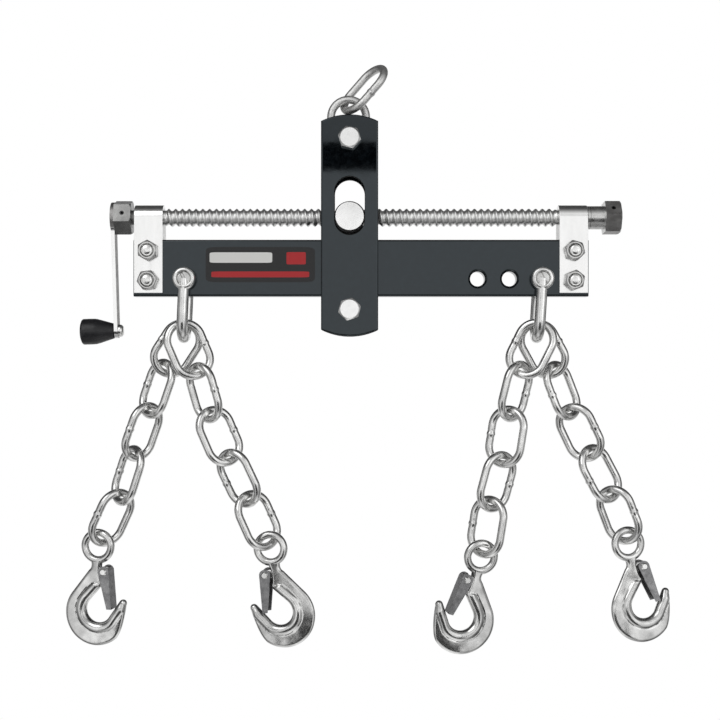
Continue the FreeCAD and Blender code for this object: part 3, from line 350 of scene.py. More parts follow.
BLACK_PAINT = black_paint()
RUBBED_BLACK = rubbed_black()
LATCH_SHEET = latch_sheet()
GRIP_PLASTIC = grip_plastic()
print("other finishes:", [m.name for m in (BLACK_PAINT, RUBBED_BLACK, LATCH_SHEET, GRIP_PLASTIC)])

# %% [markdown]
# ## Dressing
# A new piece takes a finish, rides on the body of the solid that it stands for, and hides that solid.
# A solid that stays could be bevelled by hand, but its points belong to the frame. Modifiers weld it
# and bevel its sharp edges instead, so that they catch light as real edges do.

# %% dress pieces and solids
SPLIT_ANGLE, BEVEL_ANGLE, FLAT_ANGLE = 32, 40, 1.0


def dress(piece, finish, slot, *nodes):
    """A new piece in place of one or more solids of one body."""
    piece.data.materials.append(finish)
    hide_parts(*nodes)
    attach(piece, BODY_OF[nodes[0]])


def keep_solid(node, finish, edge=0.0):
    """A solid that stays, with its finish: welded, and its sharp edges split; or, where edge is over 0,
    its flat triangles joined to whole faces and its sharp edges rounded by so many mm."""
    solid = NODES[node]
    for place in solid.material_slots:
        place.material = finish
    if not solid.material_slots:
        solid.data.materials.append(finish)
    solid.data.shade_smooth()
    solid.modifiers.new("weld", "WELD").merge_threshold = MERGE_DISTANCE
    if not edge:
        solid.modifiers.new("split", "EDGE_SPLIT").split_angle = math.radians(SPLIT_ANGLE)
        return
    flats = solid.modifiers.new("flats", "DECIMATE")
    flats.decimate_type = "DISSOLVE"
    flats.angle_limit = math.radians(FLAT_ANGLE)
    bevel = solid.modifiers.new("edges", "BEVEL")
    bevel.width = edge * MM
    bevel.segments = 2
    bevel.limit_method = "ANGLE"
    bevel.angle_limit = math.radians(BEVEL_ANGLE)
    solid.modifiers.new("normals", "WEIGHTED_NORMAL").weight = 100


def second_finish(node, finish, chooses):
    """Another finish on the faces that chooses(middles in mm, normals) picks, face by face."""
    mesh = NODES[node].data
    mesh.materials.append(finish)
    normals, middles = np.empty((2, len(mesh.polygons) * 3), np.float32)
    mesh.polygons.foreach_get("normal", normals)
    mesh.polygons.foreach_get("center", middles)
    picked = chooses(middles.reshape(-1, 3) / MM, normals.reshape(-1, 3)).astype(np.int32)
    mesh.polygons.foreach_set("material_index", picked * (len(mesh.materials) - 1))
    print(node, "faces with", finish.name, int(picked.sum()))


print("solids to dress or stand in for:", len(BODY_OF))

# %% [markdown]
# ## Chain links
# A link is a piece of wire bent to an oval and butt welded at the middle of one side. A curve with a
# round bevel would give the wire but not the weld. Here a circle is carried round the oval, and its
# radius has a small uneven swelling where the ends meet.

# %% chain links
LINK_WIRE, LINK_WIDTH, LINK_LENGTH = 7.0, 38.0, 55.5
LINK_STEPS, WIRE_POINTS = 168, 28
WELD_RISE, WELD_REACH, PINCH_DEPTH, PINCH_AT = 0.4, 1.3, 0.12, 2.2
CHAIN_NAMES = ("ll", "lr", "rl", "rr")
LIFT_LINKS = ["upper_link", "lower_link"]
LINK_NODES = LIFT_LINKS + [f"link_{chain}_{i}" for chain in CHAIN_NAMES for i in range(1, 6)]


def oval(radius, straight, steps):
    """Points at equal steps round two half circles joined by straights, from the middle of one side,
    and each one's distance from there, the shorter way round."""
    half = math.pi * radius
    total = 2 * half + 4 * straight
    s = np.arange(steps) / steps * total
    first, second = (s - straight) / radius, (s - 3 * straight) / radius
    spans = [s < straight, s < straight + half, s < 3 * straight + half, s < 3 * straight + 2 * half]
    x = np.select(spans, [radius, radius * np.cos(first), -radius, radius * np.cos(second)], radius)
    y = np.select(spans, [s, straight + radius * np.sin(first), 2 * straight + half - s,
                          -straight + radius * np.sin(second)], s - total)
    return np.stack([x, y, np.zeros(steps)], -1), np.minimum(s, total - s)


def chain_link(node, order, finish):
    """A welded link at its solid's place: the wire's radius, a weld that fades with distance as
    exp(-(d / reach)^2) and is lumpy round the wire, and a slight pinch beside it."""
    path, from_weld = oval((LINK_WIDTH - LINK_WIRE) / 2, (LINK_LENGTH - LINK_WIDTH) / 2, LINK_STEPS)
    a = round_angles(WIRE_POINTS)
    lumps = 1 + 0.35 * np.sin(3 * a + order) + 0.2 * np.sin(5 * a - 2 * order)
    ridge = WELD_RISE * np.exp(-(from_weld / WELD_REACH) ** 2)
    pinch = PINCH_DEPTH * np.exp(-((from_weld - PINCH_AT * WELD_REACH) / WELD_REACH) ** 2)
    wire = LINK_WIRE / 2 + ridge[:, None] * lumps - pinch[:, None]
    centre, (long_axis, wide_axis, _) = main_axes(node)
    wide_axis = wide_axis * (1 if order % 2 else -1)
    local = tube(path, Z, wire, WIRE_POINTS)
    points = placed(local, centre, wide_axis, long_axis, np.cross(wide_axis, long_axis))
    dress(make_piece(node + "_welded", [(points, True)], sharp=60), finish, "zinc_steel", node)


for order, node in enumerate(LINK_NODES):
    chain_link(node, order, LIFT_ZINC if node in LIFT_LINKS else WIRE_ZINC)
print("links:", len(LINK_NODES))

# %% [markdown]
# ## Hooks
# An eye hook is a forging: a ring, a short neck, and a flat body that runs round the throat to a
# blunt tip, with a round bead along the inner edge where the load sits. It could be sculpted, or
# built from a box with subdivision, but four hooks have to be alike and sit on their joints. So the
# body is one surface between an inner and an outer edge, drawn in the hook's own plane with the
# ring's middle at the origin.

# %% hook sizes
EYE_RADIUS, EYE_WIRE = 12.2, 6.6
THROAT, THROAT_RADIUS = np.array([0.4, -56.0]), 11.7
BACK, BACK_RADIUS = np.array([-2.0, -59.3]), 29.0
TIP, TIP_RADIUS, TIP_OUTSIDE = np.array([23.4, -50.5]), 3.7, 0.9
BEAD_START, NECK_CORNER = np.array([4.9, -33.6]), np.array([-8.6, -21.2])
NECK_INSIDE = ((4.6, -12.6), (2.6, -19.0), (3.2, -25.0))
STEM_INSIDE = ((3.2, -25.6), (2.6, -29.6), BEAD_START)
NECK_OUTSIDE = ((-7.0, -12.4), (-4.6, -18.5), NECK_CORNER)
NOSE_PULL = (22.6, -75.5)
STEM_ANGLE, BACK_ANGLE, END_ANGLE = 137.5, 300.6, 328.4
NECK_STEPS, STEM_STEPS, SHOULDER_STEPS, BOWL_STEPS, TURN_STEPS, NOSE_STEPS = 11, 7, 15, 59, 11, 20
print("hook from the ring's middle to the bottom:", round(BACK_RADIUS - BACK[1], 1), "mm")

# %% hook edges
def ray(angle):
    """Directions in the hook's plane at angles in degrees, from +X towards +Z."""
    a = np.radians(angle)
    return np.stack([np.cos(a), np.sin(a)], -1)


def bezier(start, pull, end, steps):
    """A curve from start to end drawn towards pull: (1 - t)^2 start + 2 t (1 - t) pull + t^2 end."""
    t = np.linspace(0, 1, steps + 1)[:, None]
    return (1 - t) ** 2 * np.asarray(start) + 2 * t * (1 - t) * np.asarray(pull) + t ** 2 * np.asarray(end)


def shoulder_end():
    """Where the straight shoulder from the neck touches the round back."""
    offset = NECK_CORNER - BACK
    turn = math.atan2(offset[1], offset[0]) + math.acos(BACK_RADIUS / np.hypot(*offset))
    return BACK + BACK_RADIUS * ray(math.degrees(turn))


def back_edge(angle):
    """The outside seen from the throat: throat + t e, on the straight shoulder as far as it goes and
    then on the round back, |throat + t e - back| = back radius."""
    e = ray(angle)
    offset = THROAT - BACK
    along = e @ offset
    round_reach = -along + np.sqrt(along ** 2 - offset @ offset + BACK_RADIUS ** 2)
    touch = shoulder_end()
    square = np.array([touch[1] - NECK_CORNER[1], NECK_CORNER[0] - touch[0]])
    straight_reach = (NECK_CORNER - THROAT) @ square / (e @ square)
    touch_angle = math.degrees(math.atan2(touch[1] - THROAT[1], touch[0] - THROAT[0]))
    return THROAT + np.where(angle < touch_angle, straight_reach, round_reach)[:, None] * e


def hook_edges():
    """Inner and outer edges from the ring to the tip, with as many points on one as on the other."""
    bowl = np.linspace(STEM_ANGLE, BACK_ANGLE, BOWL_STEPS + 1)
    turn = np.linspace(BACK_ANGLE, END_ANGLE, TURN_STEPS + 1)[1:]
    bowl_back = back_edge(bowl)
    nose = ray(END_ANGLE)
    stem_end, bowl_end = THROAT + THROAT_RADIUS * ray(STEM_ANGLE), THROAT + THROAT_RADIUS * nose
    inner_tip, outer_tip = TIP - nose * TIP_RADIUS, TIP + nose * TIP_RADIUS * TIP_OUTSIDE
    inner = [bezier(*NECK_INSIDE, NECK_STEPS),
             bezier(*STEM_INSIDE, STEM_STEPS)[1:],
             np.linspace(BEAD_START, stem_end, SHOULDER_STEPS + 1)[1:],
             THROAT + THROAT_RADIUS * ray(bowl[1:]),
             THROAT + THROAT_RADIUS * ray(turn),
             np.linspace(bowl_end, inner_tip, NOSE_STEPS + 1)[1:]]
    outer = [bezier(*NECK_OUTSIDE, NECK_STEPS),
             np.linspace(NECK_CORNER, bowl_back[0], STEM_STEPS + SHOULDER_STEPS + 1)[1:],
             bowl_back[1:],
             bezier(bowl_back[-1], NOSE_PULL, outer_tip, TURN_STEPS + NOSE_STEPS)[1:]]
    return np.concatenate(inner), np.concatenate(outer)


print("points along each edge of a hook:", len(hook_edges()[0]))

# %% [markdown]
# The section runs from the inner edge (w = 0) to the outer (w = width). The bead is a circle's height,
# the flat thins slowly to a rounded rim, and a shallow line parts them as on the real forging. Taking
# the larger of the two heights joins bead and flat without a boolean.

# %% hook surface
BEAD_RADIUS, FLAT_HALF, FLAT_THINS, RIM_ROUND = 5.0, 3.3, 0.30, 3.0
BEAD_SHARE, RIM_SHARE = 0.5, 0.45
LINE_DEPTH, LINE_AT, LINE_HALF = 0.40, 1.78, 0.6
BEAD_ROW, BEAD_ROWS, BEAD_LEAST = 16, 5, 0.05
SECTION_POINTS, TIP_ROWS = 44, 9


def hook_body():
    """Front and back of the forging: height(w) = larger of bead and flat, one sheet closed round it."""
    inner, outer = hook_edges()
    rise = np.clip((np.arange(len(inner)) - BEAD_ROW) / BEAD_ROWS, 0, 1)[:, None]
    rise = rise * rise * (3 - 2 * rise)
    across = outer - inner
    width = np.linalg.norm(across, axis=1)[:, None]
    v = (1 - np.cos(np.linspace(0, np.pi, SECTION_POINTS))) / 2
    w = width * v
    bead = np.minimum(BEAD_RADIUS, width * BEAD_SHARE) * np.clip(rise, BEAD_LEAST, 1)
    bead_height = bead * np.sqrt(np.clip(1 - ((w - bead) / bead) ** 2, 0, 1))
    rim = np.minimum(RIM_ROUND, width * RIM_SHARE)
    outside = np.clip((rim - (width - w)) / rim, 0, 1)
    inside = np.clip((rim - w) / rim, 0, 1) * (1 - rise)
    thick = FLAT_HALF * (1 - FLAT_THINS * v ** 2) * (w > bead * rise)
    flat_height = thick * np.sqrt(1 - outside ** 2) * np.sqrt(1 - inside ** 2)
    line = LINE_DEPTH * rise * np.exp(-((w - LINE_AT * bead) / LINE_HALF) ** 2)
    height = np.maximum(np.maximum(bead_height, flat_height) - line * (w > bead), 0)
    height[:, [0, -1]] = 0
    spots = inner[:, None] + across[:, None] * v[None, :, None]
    there = np.stack([spots[..., 0], -height, spots[..., 1]], -1)
    back = there[:, -2:0:-1] * np.array([1, -1, 1])
    sheet = np.concatenate([there, back], 1)
    return np.concatenate([closing(sheet[:1]), sheet, dome(sheet[-1], TIP_RADIUS)])


def dome(row, rise):
    """A round end on a section: rows that shrink as cos t while they move on as rise sin t."""
    middle = row.mean(0)
    across = unit(row[len(row) // 2 - 1] - row[0])
    ahead = unit(np.cross(across, Y))
    ahead = ahead if ahead[2] > 0 else -ahead
    t = np.linspace(0, np.pi / 2, TIP_ROWS)[1:, None, None]
    return middle + (row - middle) * np.cos(t) + ahead * rise * np.sin(t)


print("hook body, rows and points round:", hook_body().shape[:2])

# %% [markdown]
# The latch turns on a small tongue at the neck. Two places fix a hook in space: the joint of its
# latch and the middle of its throat. The ring, the body and the tongue are then moved there together.

# %% hooks with latches
LATCH_PIVOT, THROAT_MOUNT = np.array([7.2, -22.1]), np.array([-1.0, -57.0])
LUG_RADIUS, LUG_HALF, LUG_TAIL, LUG_MIDDLE = 3.4, 2.8, 8, 3
LUG_EDGE, LUG_FACE, LUG_INNER_HALF = 0.9, 0.88, -0.02
LATCH_EDGE = 0.35


def lug():
    """The tongue that carries the latch: a round-ended plate from the neck to the rivet. Its outline
    is a circle whose inner half is moved back by the tail, drawn in by a factor for each row."""
    a = round_angles(48)
    x = LATCH_PIVOT[0] + LUG_RADIUS * np.cos(a) - LUG_TAIL * (np.cos(a) < LUG_INNER_HALF)
    z = LATCH_PIVOT[1] + LUG_RADIUS * np.sin(a)
    middle = LATCH_PIVOT - (LUG_MIDDLE, 0)
    rows = [(-1, 0.0), (-1, LUG_FACE), (-LUG_EDGE, 1.0), (LUG_EDGE, 1.0), (1, LUG_FACE), (1, 0.0)]
    return np.stack([np.stack([middle[0] + (x - middle[0]) * k, np.full_like(a, y * LUG_HALF),
                               middle[1] + (z - middle[1]) * k], -1) for y, k in rows])


def hook_frame(chain):
    """A hook's origin and axes, from its latch joint's place and axis and its throat's place."""
    pivot, y_axis = joint_mm(f"latch_{chain}_turn")
    throat = np.array(MOUNTS[f"hook_{chain}_throat"]["pos_m"]) / MM
    a, c = unit(THROAT_MOUNT - LATCH_PIVOT)
    down = unit(throat - pivot)
    side = np.cross(y_axis, down)
    x_axis, z_axis = a * down + c * side, c * down - a * side
    return pivot - x_axis * LATCH_PIVOT[0] - z_axis * LATCH_PIVOT[1], x_axis, y_axis, z_axis


def hook(chain):
    """One forging at the foot of its chain: ring, body and lug."""
    a = round_angles(120)
    ring = tube(EYE_RADIUS * np.stack([np.cos(a), 0 * a, np.sin(a)], -1), -Y, EYE_WIRE / 2, 32)
    place = hook_frame(chain)
    sheets = [(placed(ring, *place), True), placed(hook_body(), *place), placed(lug(), *place)]
    dress(make_piece(f"hook_{chain}_forging", sheets, sharp=50), FORGED_ZINC, "zinc_steel", f"hook_{chain}")


for chain in CHAIN_NAMES:
    hook(chain)
    keep_solid(f"latch_{chain}", LATCH_SHEET, LATCH_EDGE)
    keep_solid(f"latch_rivet_{chain}", BOLT_ZINC)
print("hooks:", len(CHAIN_NAMES))

# %% [markdown]
# ## Shackles and their pins
# A shackle is a round bar bent to a U with a flattened eye at each end, and its pin screws through
# both. The bar is a circle carried round the U, and each eye is a turned ring with soft edges. They
# overlap as forged metal flows together, which spares a boolean and its rough seam.

# %% shackle bars
SHACKLE_STOCK, SHACKLE_JAW, SHACKLE_REACH = 10.0, 20.0, 51.5
SHACKLE_EYE, SHACKLE_BORE, EYE_SOFT, BORE_BREAK = 10.0, 6.1, 2.6, 0.6
FACE_IN, FACE_OUT = SHACKLE_JAW / 2, SHACKLE_JAW / 2 + SHACKLE_STOCK


def soft_ring(inside, outside, low, high, soft):
    """A bored disc along z with rounded edges: out along one face, over the rim and back along the other."""
    t = np.linspace(0, np.pi / 2, 7)
    rim_r, rim_z = outside - soft + soft * np.sin(t), soft - soft * np.cos(t)
    wide = inside + BORE_BREAK
    r = np.concatenate([[inside, wide], rim_r, rim_r[::-1], [wide, inside, inside]])
    z = np.concatenate([[low + BORE_BREAK, low], low + rim_z, high - rim_z[::-1],
                        [high, high - BORE_BREAK, low + BORE_BREAK]])
    return turned(z, r, 72)


def shackle_axes(which):
    """The pin's place, and the directions across and up the shackle, from how its solid spreads out."""
    up = main_axes(f"{which}_shackle")[1][0]
    up = up * np.sign(up[2])
    return joint_mm(f"{which}_shackle_swing")[0], np.cross(Y, up), up


def shackle_bar(which):
    """A circle carried down one leg, round a half circle and up the other leg, with an eye on each end."""
    pin_place, side, up = shackle_axes(which)
    half = (SHACKLE_JAW + SHACKLE_STOCK) / 2
    bend = SHACKLE_REACH - half
    t = np.linspace(0, np.pi, 48)
    leg = np.linspace(0, -bend, 14)[:-1]
    y = np.concatenate([np.full_like(leg, -half), -half * np.cos(t), np.full_like(leg, half)])
    z = np.concatenate([leg, -bend - half * np.sin(t), leg[::-1]])
    bar = tube(np.stack([0 * y, y, z], -1), X, SHACKLE_STOCK / 2, 28, ring=False)
    bar = np.concatenate([closing(bar[:1]), bar, closing(bar[-1:])])
    sheets = [placed(bar, pin_place, side, Y, up)]
    for low, high in ((-FACE_OUT, -FACE_IN), (FACE_IN, FACE_OUT)):
        eye = soft_ring(SHACKLE_BORE, SHACKLE_EYE, low, high, EYE_SOFT)
        sheets.append(placed(eye, pin_place, side, -up, Y))
    dress(make_piece(f"{which}_shackle_bar", sheets, sharp=50), WIRE_ZINC, "zinc_steel", f"{which}_shackle")


print("shackle eyes from", FACE_IN, "to", FACE_OUT, "mm off the middle")

# %% shackle pins, and both shackles made
PIN_RADIUS, PIN_COLLAR, PIN_COLLAR_HEIGHT, PIN_TAB = 6.0, 9.5, 4.0, 5.0
PIN_BREAK, PIN_SUNK, PIN_SHOULDER, PIN_DOME, COLLAR_BREAK = 0.7, 0.9, 1.2, 0.5, 0.8
TAB_BORE, TAB_SET, TAB_SOFT = 0.42, 0.7, 1.6
SLOT_HALF, SLOT_DEPTH, SLOT_TURN, SLOT_FLANK = 1.1, 2.0, 62, 0.5
PIN_POINTS, END_ROWS, ROW_CROWDING = 96, 26, 0.8


def slotted_end(level):
    """A pin's domed end with a screwdriver slot: z = level + dome - slot depth where |u| < half width."""
    a = round_angles(PIN_POINTS)
    r = np.linspace(0, 1, END_ROWS)[:, None] ** ROW_CROWDING * (PIN_RADIUS - PIN_BREAK)
    x, y = r * np.cos(a), r * np.sin(a)
    turn = math.radians(SLOT_TURN)
    u = np.abs(x * math.sin(turn) + y * math.cos(turn))
    slot = SLOT_DEPTH * np.clip((SLOT_HALF + SLOT_FLANK / 2 - u) / SLOT_FLANK, 0, 1)
    return np.stack([x, y, level + PIN_DOME * (1 - (r / PIN_RADIUS) ** 2) - slot], -1)


def shackle_pin(which):
    """A turned pin along -Y: slotted end, shank and collar, and a flat eyed tab behind the collar."""
    pin_place, side, up = shackle_axes(which)
    back = -FACE_OUT - PIN_COLLAR_HEIGHT
    shoulder = FACE_OUT - PIN_SHOULDER
    profile = ((shoulder, PIN_RADIUS - PIN_BREAK), (shoulder - PIN_BREAK, PIN_RADIUS),
               (-FACE_OUT, PIN_RADIUS), (-FACE_OUT, PIN_COLLAR), (back + COLLAR_BREAK, PIN_COLLAR),
               (back, PIN_COLLAR - COLLAR_BREAK), (back, 0))
    shank = turned(*zip(*profile), PIN_POINTS)
    tab = soft_ring(TAB_BORE * PIN_COLLAR, PIN_COLLAR, -PIN_TAB / 2, PIN_TAB / 2, TAB_SOFT)
    tab_middle = pin_place + Y * (TAB_SET * PIN_COLLAR - back)
    sheets = [placed(np.concatenate([slotted_end(FACE_OUT - PIN_SUNK), shank]), pin_place, side, up, -Y),
              placed(tab, tab_middle, Y, up, side)]
    node = f"{which}_shackle_pin"
    dress(make_piece(node + "_turned", sheets, sharp=40), TURNED_ZINC, "zinc_steel", node)


for which in ("left", "right"):
    shackle_bar(which)
    shackle_pin(which)
    print(which, "shackle and its pin")

# %% [markdown]
# ## Lead screw
# The screw has a coarse rolled thread with one right-hand start and rounded crests. A Screw modifier
# could wind a profile, but it has no run-out. Here the radius is a wave of x / pitch - angle / turn,
# so that the ridge winds once for each pitch, and the wave fades at both ends.

# %% lead screw
SCREW_PITCH, CREST_RADIUS, ROOT_RADIUS, JOURNAL_RADIUS = 6.0, 8.0, 6.0, 6.5
CREST_POWER, RUN_OUT, SCREW_BREAK = 1.2, 3.0, 0.6
CREST_SLACK, SCREW_STEP, SCREW_GAP, SCREW_POINTS = 0.2, 0.4, 0.05, 48


def lead_screw():
    """Radius = root + depth * ((1 + cos 2 pi (x / pitch - a / 2 pi)) / 2)^1.2, faded out at both ends."""
    points = node_mesh("lead_screw")[0]
    off_axis = np.hypot(points[:, 1] - SCREW_AXIS[1], points[:, 2] - SCREW_AXIS[2])
    thick = points[off_axis > CREST_RADIUS - CREST_SLACK, 0]
    start, end = thick.min(), thick.max()
    low, high = points[:, 0].min(), points[:, 0].max()
    x = np.linspace(start, end, int((end - start) / SCREW_STEP))[:, None]
    wave = ((1 + np.cos(2 * np.pi * (x / SCREW_PITCH) - round_angles(SCREW_POINTS))) / 2) ** CREST_POWER
    fade = np.clip(np.minimum(x - start, end - x) / RUN_OUT, 0, 1)
    thread = JOURNAL_RADIUS + (ROOT_RADIUS - JOURNAL_RADIUS + (CREST_RADIUS - ROOT_RADIUS) * wave) * fade
    plain = np.full((1, SCREW_POINTS), JOURNAL_RADIUS)
    broken = plain - SCREW_BREAK
    radii = np.concatenate([0 * plain, broken, plain, plain, thread, plain, plain, broken, 0 * plain])
    stations = np.concatenate([[low, low, low + SCREW_BREAK, start - SCREW_GAP], x[:, 0],
                               [end + SCREW_GAP, high - SCREW_BREAK, high, high]])
    points = placed(turned(stations, radii, SCREW_POINTS), SCREW_AXIS * (Y + Z), Y, Z, X)
    dress(make_piece("lead_screw_rolled", [points], sharp=60), SCREW_ZINC, "zinc_steel", "lead_screw")
    print("thread from", round(start, 1), "to", round(end, 1), "mm")


lead_screw()

# %% [markdown]
# ## Bolts and nuts
# A hexagon is a circle cut by six flats, so its radius round the axis is half the flats / cos of the
# angle from the nearest flat. A cone trims its corners, which leaves the curved edges of a real nut.
# Cutting a prism with a cone by a boolean would show the same, with long thin faces.

# %% hexagons and threaded ends
COUNTERSINK, CONE_START, CONE_ANGLE, CONE_ROWS = 1.1, 0.445, 38, 8
CORNER_POWER, HEXAGON_POINTS = 70, 144
THREAD_FROM, THREAD_DEPTH, THREAD_CLIP, BOLT_TIP = 0.55, 0.55, (0.12, 0.9), 0.9
THREAD_GAP, THREAD_ROWS, SHANK_POINTS = 0.1, 90, 48


def hexagon(flats, corner):
    """Radius of a hexagon with slightly rounded corners: flats / 2 * (sum of cos^p of the angle from
    each flat)^(-1 / p)."""
    from_flat = round_angles(HEXAGON_POINTS)[:, None] - corner - np.pi / 6 - np.arange(6) * np.pi / 3
    return flats / 2 * (np.clip(np.cos(from_flat), 0, 1) ** CORNER_POWER).sum(1) ** (-1 / CORNER_POWER)


def hex_sheet(flats, high, corner, bore, trim_high):
    """A hexagon from 0 to high along z with a bore; a trimmed end is met by a cone that dulls its
    corners, and a bore opens to a countersink there. The low end is always trimmed."""
    widest = flats / 2 / math.cos(math.pi / 6)
    cone = np.linspace(CONE_START * flats, widest, CONE_ROWS)
    drop = (cone - cone[0]) * math.tan(math.radians(CONE_ANGLE))
    sink = COUNTERSINK if bore else 0.0
    rows = [(sink, bore), (0, bore + sink), *zip(drop, cone)]
    rows += zip(high - drop[::-1], cone[::-1]) if trim_high else [(high, widest)]
    rows += [(high, bore + sink), (high - sink, bore)]
    if bore:
        rows += [(sink, bore)]
    stations, limits = np.array(rows).T
    return turned(stations, np.minimum(hexagon(flats, corner), limits[:, None]), HEXAGON_POINTS)


def threaded_end(radius, pitch, length, low):
    """A bolt's shank from a plain start to a domed end, with a fine thread on the last stretch: radius -
    depth * the triangle wave of z / pitch - a / turn, cut off at crest and root."""
    a = round_angles(SHANK_POINTS)
    z = np.linspace(length * THREAD_FROM, length - BOLT_TIP, THREAD_ROWS)[:, None]
    wave = np.abs(((z / pitch - a / (2 * np.pi)) % 1) * 2 - 1)
    thread = radius - THREAD_DEPTH * pitch * np.clip(wave, *THREAD_CLIP)
    t = np.linspace(0, np.pi / 2, 8)[:, None]
    tip = (radius - BOLT_TIP) * np.cos(t) + 0 * a
    plain = np.full((1, SHANK_POINTS), radius)
    radii = np.concatenate([0 * plain, plain, plain, thread, tip])
    stations = np.concatenate([[low, low, length * THREAD_FROM - THREAD_GAP], z[:, 0],
                               length - BOLT_TIP + BOLT_TIP * np.sin(t[:, 0])])
    return turned(stations, radii, SHANK_POINTS)


print("points of a plain nut's surface:", hex_sheet(16.0, 8.0, 0.0, 5.0, True).shape[:2])

# %% sets of bolts and nuts
STRAP_FLATS, STRAP_BOLT, STRAP_PITCH, STRAP_HEAD = 16.0, 5.0, 1.5, 6.4
CARRIAGE_FLATS, CARRIAGE_BOLT, CARRIAGE_PITCH, CARRIAGE_HEAD = 18.0, 6.0, 1.75, 7.5
NUT_PLAY, SHANK_SUNK, WIDE_SET, FAR_SHARE = 0.1, 0.5, 60, 0.995


def fasteners(node):
    """Each solid of a set of bolts or nuts along Y: its middle, ends, and a corner's angle. A set has
    one above another, and a wide set has such a pair at each end of the beam."""
    points = node_mesh(node)[0]
    middle = (points.min(0) + points.max(0)) / 2
    wide = np.ptp(points[:, 0]) > WIDE_SET
    key = (points[:, 2] > middle[2]) + 2 * (points[:, 0] > middle[0]) * wide
    for k in np.unique(key):
        spot = points[key == k]
        centre = (spot.min(0) + spot.max(0)) / 2
        off = spot[:, [0, 2]] - centre[[0, 2]]
        far = np.hypot(*off.T) > FAR_SHARE * np.hypot(*off.T).max()
        corner = np.angle(np.exp(6j * np.arctan2(off[far, 1], off[far, 0])).mean()) / 6
        yield centre, spot[:, 1].min(), spot[:, 1].max(), corner


def nut_set(node, flats, bore):
    """Nuts made again on their solids, trimmed at both ends."""
    sheets = []
    for centre, low, high, corner in fasteners(node):
        ring = hex_sheet(flats, high - low, corner, bore, True)
        sheets.append(placed(ring, (centre[0], high, centre[2]), X, Z, -Y))
    dress(make_piece(node + "_trimmed", sheets, sharp=30), TURNED_ZINC, "zinc_steel", node)
    print(node, len(sheets))


def bolt_set(node, finish, flats, radius, pitch, head, facing):
    """Bolts with the head at one end and a domed threaded end at the other; facing is +1 where the
    heads are at the back, -1 where they are at the front."""
    sheets = []
    for centre, low, high, corner in fasteners(node):
        start = np.array([centre[0], high if facing > 0 else low, centre[2]])
        axes = (X, Z, -Y) if facing > 0 else (X, Z, Y)
        sheets.append(placed(hex_sheet(flats, head, corner, 0, False), start, *axes))
        sheets.append(placed(threaded_end(radius, pitch, high - low, head * SHANK_SUNK), start, *axes))
    dress(make_piece(node + "_threaded", sheets, sharp=30), finish, "zinc_steel", node)
    print(node, len(sheets) // 2)


nut_set("strap_nuts", STRAP_FLATS, STRAP_BOLT + NUT_PLAY)
bolt_set("strap_bolts", BOLT_ZINC, STRAP_FLATS, STRAP_BOLT, STRAP_PITCH, STRAP_HEAD, 1)
nut_set("carriage_nuts", CARRIAGE_FLATS, CARRIAGE_BOLT + NUT_PLAY)
bolt_set("carriage_bolts", FACED_ZINC, CARRIAGE_FLATS, CARRIAGE_BOLT, CARRIAGE_PITCH, CARRIAGE_HEAD, -1)

# %% [markdown]
# ## Grip
# The crank's grip is a turned plastic barrel that tapers to the arm and spins on a rivet. A lathed
# profile suits it: a straight taper, a soft shoulder, a short barrel and a domed end.

# %% grip
GRIP_LENGTH, GRIP_PLAY, GRIP_NECK, GRIP_RADIUS, GRIP_TAPER = 30.0, 0.4, 6.5, 11.4, 16.0
GRIP_ROUND, GRIP_DOME, GRIP_BREAK = 2.2, 1.2, (0.7, 0.4)
GRIP_BLEND = 7 / 22


def grip():
    """A turned barrel: radius = R - b log(1 + exp((R - taper) / b)), which follows the taper and then
    stays at R, and a quarter circle and a dome at the end."""
    middle, axis = joint_mm("grip_spin")
    start = -GRIP_LENGTH / 2 + GRIP_PLAY
    tip = GRIP_LENGTH - GRIP_ROUND - GRIP_DOME
    s = np.linspace(0, tip, 80)
    taper = GRIP_NECK + (GRIP_RADIUS - GRIP_NECK) * s / GRIP_TAPER
    body = GRIP_RADIUS - GRIP_BLEND * np.log1p(np.exp((GRIP_RADIUS - taper) / GRIP_BLEND))
    t = np.linspace(0, np.pi / 2, 10)
    radii = np.concatenate([[0, body[0] - GRIP_BREAK[0]], body, body[-1] - GRIP_ROUND * (1 - np.cos(t)),
                            (body[-1] - GRIP_ROUND) * np.cos(t[1:])])
    stations = start + np.concatenate([[0, 0], np.maximum(s, GRIP_BREAK[1]), tip + GRIP_ROUND * np.sin(t),
                                       tip + GRIP_ROUND + GRIP_DOME * np.sin(t[1:])])
    side = unit(np.cross(axis, Y))
    sheet = placed(turned(stations, radii, 72), middle, side, np.cross(axis, side), axis)
    dress(make_piece("crank_grip_moulded", [sheet], sharp=40), GRIP_PLASTIC, "grip", "crank_grip")
    print("grip, widest radius", round(radii.max(), 1), "mm")


grip()
